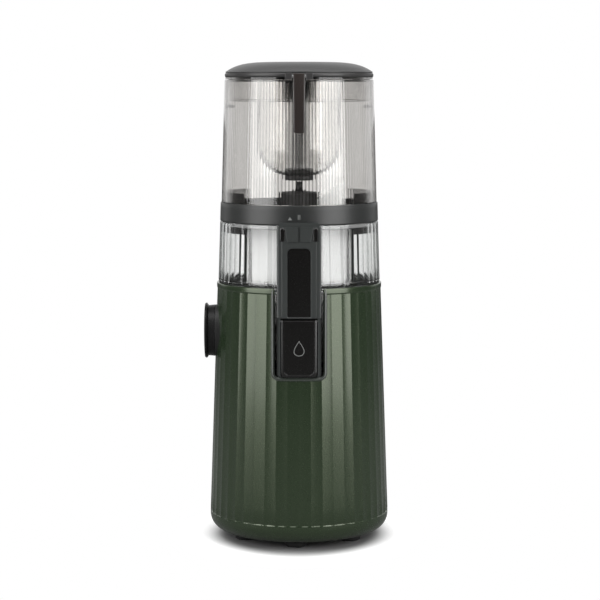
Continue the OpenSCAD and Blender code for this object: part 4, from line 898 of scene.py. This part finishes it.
def lid_shell():
    """The domed lid: a step under its smoky top, a straight rim, and a notch in front for the latch."""
    dome_r = LID_R - 0.6
    profile = []
    for i in range(DOME_STEPS + 1):
        share = 1 - (1 - i / DOME_STEPS) ** DOME_CROWD
        profile.append((dome_r * share, dome_z(share)))
    profile += [(dome_r - 0.1, Z_LID_TOP - 0.5), (dome_r - 0.5, Z_LID_TOP - 0.8),
                (dome_r - 0.4, Z_LID_TOP - 1.1), (LID_R - 0.5, Z_LID_TOP - 1.4), (LID_R, Z_LID_TOP - 2.0),
                (LID_R, Z_LID + 1.6), (LID_R - 0.3, Z_LID + 0.7), (LID_R - 0.9, Z_LID),
                (LID_R - LID_WALL, Z_LID)]
    profile += [((LID_R - LID_WALL) * share, dome_z(share) - LID_WALL)
                for share in (1, 0.95, 0.85, 0.7, 0.5, 0.25, 0)]
    shell = lathe("lid_shell", profile, "lid", "lid_black", ("lid_dome",), columns=360, loop=False)
    notch_half = LATCH_HALF + 0.3
    notch = block(-notch_half, notch_half, -90, 3.2 - LATCH_PIN_Y, Z_LID - 5, Z_LID_TOP)
    cut_away(shell, [notch], SHARP)
    shell.data.materials.append(MATERIALS["lid_smoke"])
    for face in shell.data.polygons:
        if face.center.z > (Z_LID_TOP - 0.3) * MM:
            face.material_index = 1


def lid_lugs():
    """Two lugs in front that hold the latch pin."""
    near, far = LUG_X
    lugs = joined(*[block(x0, x1, -LATCH_PIN_Y - 2, 2 - LID_R, Z_LID - 2, Z_LID + 4)
                    for x0, x1 in ((-far, -near), (near, far))])
    bevel(build("lid_lugs", *lugs, "lid", "lid_black"), 0.6, 3)


def lid_knuckle():
    """The barrel on the hinge pin at the back, with its arm to the lid."""
    y, z = node_middle("lid_hinge_pin")
    knuckle = joined(cylinder_x(KNUCKLE_R, -KNUCKLE_HALF, KNUCKLE_HALF, y, z, 48),
                     block(-KNUCKLE_HALF, KNUCKLE_HALF, LID_R - 3, y, Z_LID + 0.4, Z_LID + 4))
    bevel(build("lid_knuckle", *knuckle, "lid", "lid_black"), 0.4)


def guard_seat():
    """The ring under the dome that carries the guard cup."""
    seat = rectangle(GUARD_R - GUARD_SEAT_W, GUARD_R, Z_MOUTH, Z_APEX - 2)
    lathe("guard_seat", seat, "lid", "lid_black")


def shade_ring(name, r, z, w, h):
    """A fine dark line round a clear part of the lid: painted shade for the dark look of its edge."""
    lathe(name, rectangle(r - w, r, z, z + h), "lid", "smoky_skirt", look="edge_shade_smoke")


SKIRT_LOW_R = HOPPER_R_TOP - WALL - 3.4


def lid_shade_lines():
    """Painted shade: dark lines at the edges of the skirt and of the guard cup."""
    shade_ring("skirt_edge_shade", SKIRT_LOW_R + 0.3, node_box("lid_skirt")[0].z - 0.2, 1, 0.5)
    shade_ring("guard_edge_shade", GUARD_R + 0.5, Z_LID - 3, 0.5, 0.45)


FIN_HALF_T = 0.8
# Where a fin starts beside the post, and how far it reaches below and above
FIN_IN_X = 4.6
FIN_LOW_X = 12.5
FIN_TOP_X = 16.5


def post_shade_fins():
    """Two thin grey sheets beside the post: painted shade that stands in for the latch seen blurred
    through the ribbed hopper.
    """
    z_low = node_box("guard_hub")[1].z
    z_top = Z_LID - 1
    half = [(FIN_IN_X, z_low), (FIN_LOW_X, z_low), (FIN_TOP_X, z_top), (FIN_IN_X, z_top)]
    for side, word in ((-1, "left"), (1, "right")):
        fin = prism([(side * x, z) for x, z in half], -FIN_HALF_T, FIN_HALF_T)
        build("post_shade_fin_" + word, *fin, "lid", "smoky_skirt", look="fin_shade_grey")


# ---- latch ----
LATCH_T = 3.4
LATCH_BACK_Y = -72.4
# Share of its width that the latch loses toward its lower end
LATCH_TAPER = 0.08


def latch_bar():
    """The latch: a bar that narrows downward, with rounded lower corners and soft front edges."""
    low, high = node_box("lid_latch")

    def outline(inset):
        found = []
        for x, z in rounded_box(LATCH_HALF - inset, low.z + inset, high.z - inset, 0.6, 3 - inset * 0.5):
            share = (z - low.z) / (high.z - low.z)
            found.append((x * mix(1 - LATCH_TAPER, 1, share), z))
        return found

    layers = stacked(outline, ((0.4, LATCH_T), (0, LATCH_T - 0.4), (0, 1.1), (0.3, 0.4), (1.1, 0)))
    place = Matrix.Translation((0, LATCH_BACK_Y - LATCH_T, 0))
    layered("latch_bar", layers, "latch", "latch_brown", ("lid_latch",), place)


# ---- spout: a flat front that leans back with the housing ----
LEAN = math.atan((BODY_R_LOW - BODY_R_TOP) / (Z_RIM - Z_FLUTE))
FRONT = Matrix.Translation((0, -FRONT_Y, Z_CAP)) @ Matrix.Rotation(-LEAN, 4, "X")
# Heights over the lower end of the juice cap, along the front
CAP_H = 54.1
FASCIA_LOW = CAP_H + 0.8
FASCIA_TOP = 139
PANEL_LOW = FASCIA_LOW + 0.6
PANEL_TOP = FASCIA_TOP - 20
PANEL_HALF = 10.9


def panel_outline(inset):
    """Outline of the dark field, with wide upper corners."""
    return rounded_box(PANEL_HALF - inset, PANEL_LOW + inset, PANEL_TOP - inset, 4.5, 0.8)


def spout_fascia():
    """Upper front of the spout frame: chamfered sides and a recess for the panel."""
    def border(inset):
        end = min(inset, 0.4)
        return rounded_box(FRAME_HALF - inset, FASCIA_LOW + end, FASCIA_TOP - end, 1, 0.6)

    layers = stacked(border, ((0, 7), (0, 0.7), (0.6, 0), (0.8, -0.1), (1.4, -0.6), (4.4, -0.6),
                              (4.9, -1), (5.3, -1)))
    layers += stacked(panel_outline, ((-0.3, -1), (0.2, -0.5), (0.35, 1.4), (0.6, 1.6)))
    layered("spout_fascia", layers, "bowl", "black_gloss", (), FRONT, "frame_grey")


def spout_panel():
    """The dark field in the recess of the fascia."""
    layers = stacked(panel_outline, ((0.3, 0.6), (0.3, -0.1), (0.9, -0.15)))
    layered("spout_panel", layers, "bowl", "black_gloss", (), FRONT)


CREST_TOP = 138.6
CREST_LOW = 124.5
CREST_PROUD = 1.8
# Half of the slot that splits the crest
CREST_SLOT = 1.0
BOSS_X = 15.2
BOSS_HALF = 2.3


def frame_crest():
    """Raised tongue at the top of the spout frame, split by a slot, with a boss at each side."""
    def tongue(side, inset):
        half = [(CREST_SLOT, CREST_LOW + inset), (10.8 - inset, CREST_LOW + inset),
                (11.6 - inset, CREST_LOW + 3), (12.2 - inset, CREST_LOW + 8), (13.3 - inset, CREST_TOP),
                (CREST_SLOT, CREST_TOP)]
        return [(side * x, z) for x, z in half]

    def boss(inset):
        return rounded_box(BOSS_HALF - inset, CREST_LOW + 0.6 + inset, CREST_TOP - 1 - inset, 1.2, 1.2)

    bosses = stacked(boss, ((0, 0.6), (0, 0.8 - CREST_PROUD), (0.7, 0.2 - CREST_PROUD)))
    for side, word in ((-1, "left"), (1, "right")):
        halves = [(tongue(side, 0), 0), (tongue(side, 0), 0.5 - CREST_PROUD),
                  (tongue(side, 0.6), -CREST_PROUD)]
        layered("crest_" + word, halves, "bowl", "black_gloss", (), FRONT, "frame_grey")
        place = FRONT @ Matrix.Translation((side * BOSS_X, 0, 0))
        layered("boss_" + word, bosses, "bowl", "black_gloss", (), place)


def juice_flap():
    """The juice cap: a chamfered plate with rounded lower corners that turns about its pin."""
    def outline(inset, drop, low=0.0):
        return rounded_box(CAP_HALF - inset, low + inset * 0.8, CAP_H - drop, 1.2, 4.2)

    layers = [(outline(0.6, 1.8, 0.4), 3.8), (outline(0, 0.3), 3.2), (outline(0, 0), 2.2),
              (outline(0.1, 0.25), 1.6), (outline(0.45, 0.7), 1.15), (outline(2.6, 2.1), 0.2),
              (outline(3.0, 2.5), 0.2), (outline(3.2, 2.7), 0.4)]
    layered("juice_flap", layers, "juice_cap", "black_gloss", ("juice_cap",), FRONT)


DROP_Z = 27.1
DROP_SIZE = (6.6, 6.8)
DROP_STEPS = 64
# Half width of the line, and the depths of its face and of its foot in the cap
DROP_LINE = 0.32
DROP_FACE = 0.24
DROP_FOOT = 0.4


def cap_drop():
    """Outline of a plain drop, a fine raised line on the juice cap."""
    line = []
    for i in range(DROP_STEPS):
        a = 2 * math.pi * i / DROP_STEPS
        line.append(Vector((DROP_SIZE[0] * math.sin(a) * abs(math.sin(a / 2)) ** 1.5,
                            DROP_SIZE[1] * math.cos(a))))
    points = []
    for depth, out in rectangle(DROP_FOOT, DROP_FACE, DROP_LINE, -DROP_LINE):
        for i in range(DROP_STEPS):
            along = (line[(i + 1) % DROP_STEPS] - line[i - 1]).normalized()
            x, z = line[i] + Vector((-along.y, along.x)) * out
            points.append((x, depth, z + DROP_Z))
    build("cap_drop", points, ring_faces(4, DROP_STEPS, True), "juice_cap", "black_gloss", sharp=40,
          place=FRONT, look="mark_grey")


# ---- studio, in metres ----
# Light of the sky in front, at the sides and behind, and where it changes
FRONT_SKY = 0.03
SIDE_SKY = 0.24
BACK_SKY = 1.0
SIDE_EDGE = (-0.35, 0.15)
BACK_EDGE = (0.72, 0.96)
FLOOR_HALF = 40
FLOOR_ALBEDO = 0.25
FLOOR_GAIN = 1.5
# Distances from the axis, with Y counted SHADE_DEEP times as long
SHADE_DEEP = 0.8
# Painted contact shadow: the span over which it fades out, and its darkest share
CONTACT = (0.066, 0.104)
CONTACT_SHADE = 0.15
FLOOR_FADE = (0.070, 0.120)
# Azimuth from the front and elevation in degrees, distance, width, height, power, height it aims at
SOFTBOXES = {
    "softbox_left": (-57, 13, 1.45, 1.1, 1.3, 19, 0.24),
    "softbox_right": (50, 13, 1.45, 1.05, 1.3, 21, 0.24),
    "rim_left": (-130, 8, 1.5, 0.6, 0.6, 0.8, 0.24),
    "rim_right": (130, 8, 1.5, 0.6, 0.6, 0.8, 0.24),
    "top_left": (-75, 50, 1.3, 0.8, 0.6, 7, 0.44),
    "top_right": (75, 50, 1.3, 0.8, 0.6, 7, 0.44),
    "softbox_top": (0, 75, 1.2, 1.4, 0.7, 7, 0.22),
}


def from_behind(nodes, links, value):
    """Light by direction: value is 1 straight behind the object and -1 in front."""
    sides = smooth_ramp(nodes, links, value, SIDE_EDGE, FRONT_SKY, SIDE_SKY)
    return smooth_ramp(nodes, links, value, BACK_EDGE, sides, BACK_SKY)


def white_to_camera(nodes, links, value):
    """The value, but 1 for the camera."""
    rays = nodes.new("ShaderNodeLightPath")
    pick = nodes.new("ShaderNodeMix")
    pick.inputs["B"].default_value = 1
    links.new(value, pick.inputs["A"])
    links.new(rays.outputs["Is Camera Ray"], pick.inputs["Factor"])
    return pick.outputs["Result"]


def vector_length(nodes, links, vector):
    node = nodes.new("ShaderNodeVectorMath")
    node.operation = "LENGTH"
    links.new(vector, node.inputs[0])
    return node.outputs["Value"]


def studio_world():
    """White for the camera, and for the object a light that is strongest from behind."""
    world = bpy.data.worlds.new("studio")
    bpy.context.scene.world = world
    world.use_nodes = True
    nodes, links = world.node_tree.nodes, world.node_tree.links
    ways = axes_of(nodes, links, nodes.new("ShaderNodeTexCoord").outputs["Generated"])
    light = white_to_camera(nodes, links, from_behind(nodes, links, ways["Y"]))
    links.new(light, nodes["Background"].inputs["Strength"])
    nodes["Background"].inputs["Color"].default_value = (1, 1, 1, 1)


def lit_floor(nodes, links, away):
    """The floor near the object: to the camera a painted contact shadow, darker toward the object; plain
    grey for other rays.
    """
    diffuse = nodes.new("ShaderNodeBsdfDiffuse")
    rays = nodes.new("ShaderNodeLightPath")
    shade = nodes.new("ShaderNodeMix")
    shade.data_type = "RGBA"
    shade.inputs["A"].default_value = (*grey(FLOOR_ALBEDO), 1)
    links.new(smooth_ramp(nodes, links, away, CONTACT, CONTACT_SHADE * FLOOR_GAIN, FLOOR_GAIN),
              shade.inputs["B"])
    links.new(rays.outputs["Is Camera Ray"], shade.inputs["Factor"])
    links.new(shade.outputs["Result"], diffuse.inputs["Color"])
    return diffuse.outputs["BSDF"]


def bright_floor(nodes, links, position):
    """The floor far off: white to the camera, and for other rays like the sky that way."""
    glow = nodes.new("ShaderNodeEmission")
    toward_back = math_node(nodes, links, "DIVIDE", axes_of(nodes, links, position)["Y"],
                            vector_length(nodes, links, position))
    light = white_to_camera(nodes, links, from_behind(nodes, links, toward_back))
    links.new(light, glow.inputs["Strength"])
    return glow.outputs["Emission"]


def floor_material():
    """Near the object a lit floor, which fades to the bright one for camera and transmission rays."""
    nodes, links, shader = new_material("floor")
    nodes.remove(shader)
    position = nodes.new("ShaderNodeNewGeometry").outputs["Position"]
    rays = nodes.new("ShaderNodeLightPath")
    squeeze = nodes.new("ShaderNodeVectorMath")
    squeeze.operation = "MULTIPLY"
    squeeze.inputs[1].default_value = (1, SHADE_DEEP, 0)
    links.new(position, squeeze.inputs[0])
    away = vector_length(nodes, links, squeeze.outputs["Vector"])
    seen = math_node(nodes, links, "MAXIMUM", rays.outputs["Is Camera Ray"],
                     rays.outputs["Is Transmission Ray"])
    fade = math_node(nodes, links, "MULTIPLY", seen, smooth_ramp(nodes, links, away, FLOOR_FADE, 0, 1))
    blend = nodes.new("ShaderNodeMixShader")
    links.new(fade, blend.inputs["Fac"])
    links.new(lit_floor(nodes, links, away), blend.inputs[1])
    links.new(bright_floor(nodes, links, position), blend.inputs[2])
    links.new(blend.outputs["Shader"], nodes["Material Output"].inputs["Surface"])


def studio_floor():
    """A floor under the object that fades to the white of the background."""
    corners = rectangle(-FLOOR_HALF, FLOOR_HALF, -FLOOR_HALF, FLOOR_HALF)
    mesh = bpy.data.meshes.new("floor")
    mesh.from_pydata([(x, y, 0) for x, y in corners], [], [(0, 1, 2, 3)])
    floor = bpy.data.objects.new("floor", mesh)
    bpy.context.scene.collection.objects.link(floor)
    floor_material()
    mesh.materials.append(MATERIALS["floor"])


def softbox(name, azimuth, elevation, distance, width, height, power, aim_z):
    """An upright softbox that faces the object, unseen by the camera."""
    a, e = math.radians(azimuth), math.radians(elevation)
    data = bpy.data.lights.new(name, "AREA")
    data.shape = "RECTANGLE"
    data.size, data.size_y, data.energy = width, height, power
    lamp = bpy.data.objects.new(name, data)
    back = Vector((math.sin(a) * math.cos(e), -math.cos(a) * math.cos(e), math.sin(e)))
    lamp.location = Vector((0, 0, aim_z)) + back * distance
    lamp.rotation_euler = (-back).to_track_quat("-Z", "Y").to_euler()
    lamp.visible_camera = False
    bpy.context.scene.collection.objects.link(lamp)


def studio():
    """Sky, floor and softboxes of a white studio."""
    studio_world()
    studio_floor()
    for name, setting in SOFTBOXES.items():
        softbox(name, *setting)
    bpy.context.scene.view_settings.view_transform = "Standard"


# ---- CAD nodes ----
# Widths of their rounded edges
BEVELS = {
    "rubber_feet": 0.8, "power_knob": 0.5, "knob_plinth": 0.3, "pulp_spout": 0.4, "pulp_cap": 0.5,
    "spout_frame": 0.5, "guard_hub": 0.5, "hinge_bracket": 0.4, "well_liner": 0.4, "cord_gland": 0.4,
    "base_plate": 0.3, "strainer_frame": 0.3, "auger_screw": 0.4, "cutting_wing": 0.5,
    "hopper_floor": 0.6, "screw_crown": 0.6, "gearbox_housing": 0.5, "gearbox_lid": 0.5,
}
# Nodes that look other than their slot
NODE_LOOKS = {"spout_frame": "frame_grey"}


def dress_nodes():
    """Gives the CAD nodes their finish and rounds the edges of those in BEVELS."""
    slots = {row["node"]: row["material_slot"] for row in frame["record"]["subparts"]}
    for name, node in frame["nodes"].items():
        node.data.materials.clear()
        node.data.materials.append(MATERIALS[NODE_LOOKS.get(name, slots[name])])
        node.modifiers.new("join", "WELD").merge_threshold = MERGE
        if name in BEVELS:
            bevel(node, BEVELS[name], angle=40)


make_camera()
dark_plastics()
light_plastics()
metals()
clear_plastics()
dress_nodes()
housing_foot()
housing_shell()
notch_lip("front_lip", NOTCH_HALF, True)
notch_lip("rear_lip", REAR_HALF, False)
clear_bowl()
strainer_posts()
hopper_shell()
bayonets()
collar()
collar_marks()
lid_shell()
lid_lugs()
lid_knuckle()
guard_seat()
lid_shade_lines()
post_shade_fins()
latch_bar()
spout_fascia()
spout_panel()
frame_crest()
juice_flap()
cap_drop()
studio()
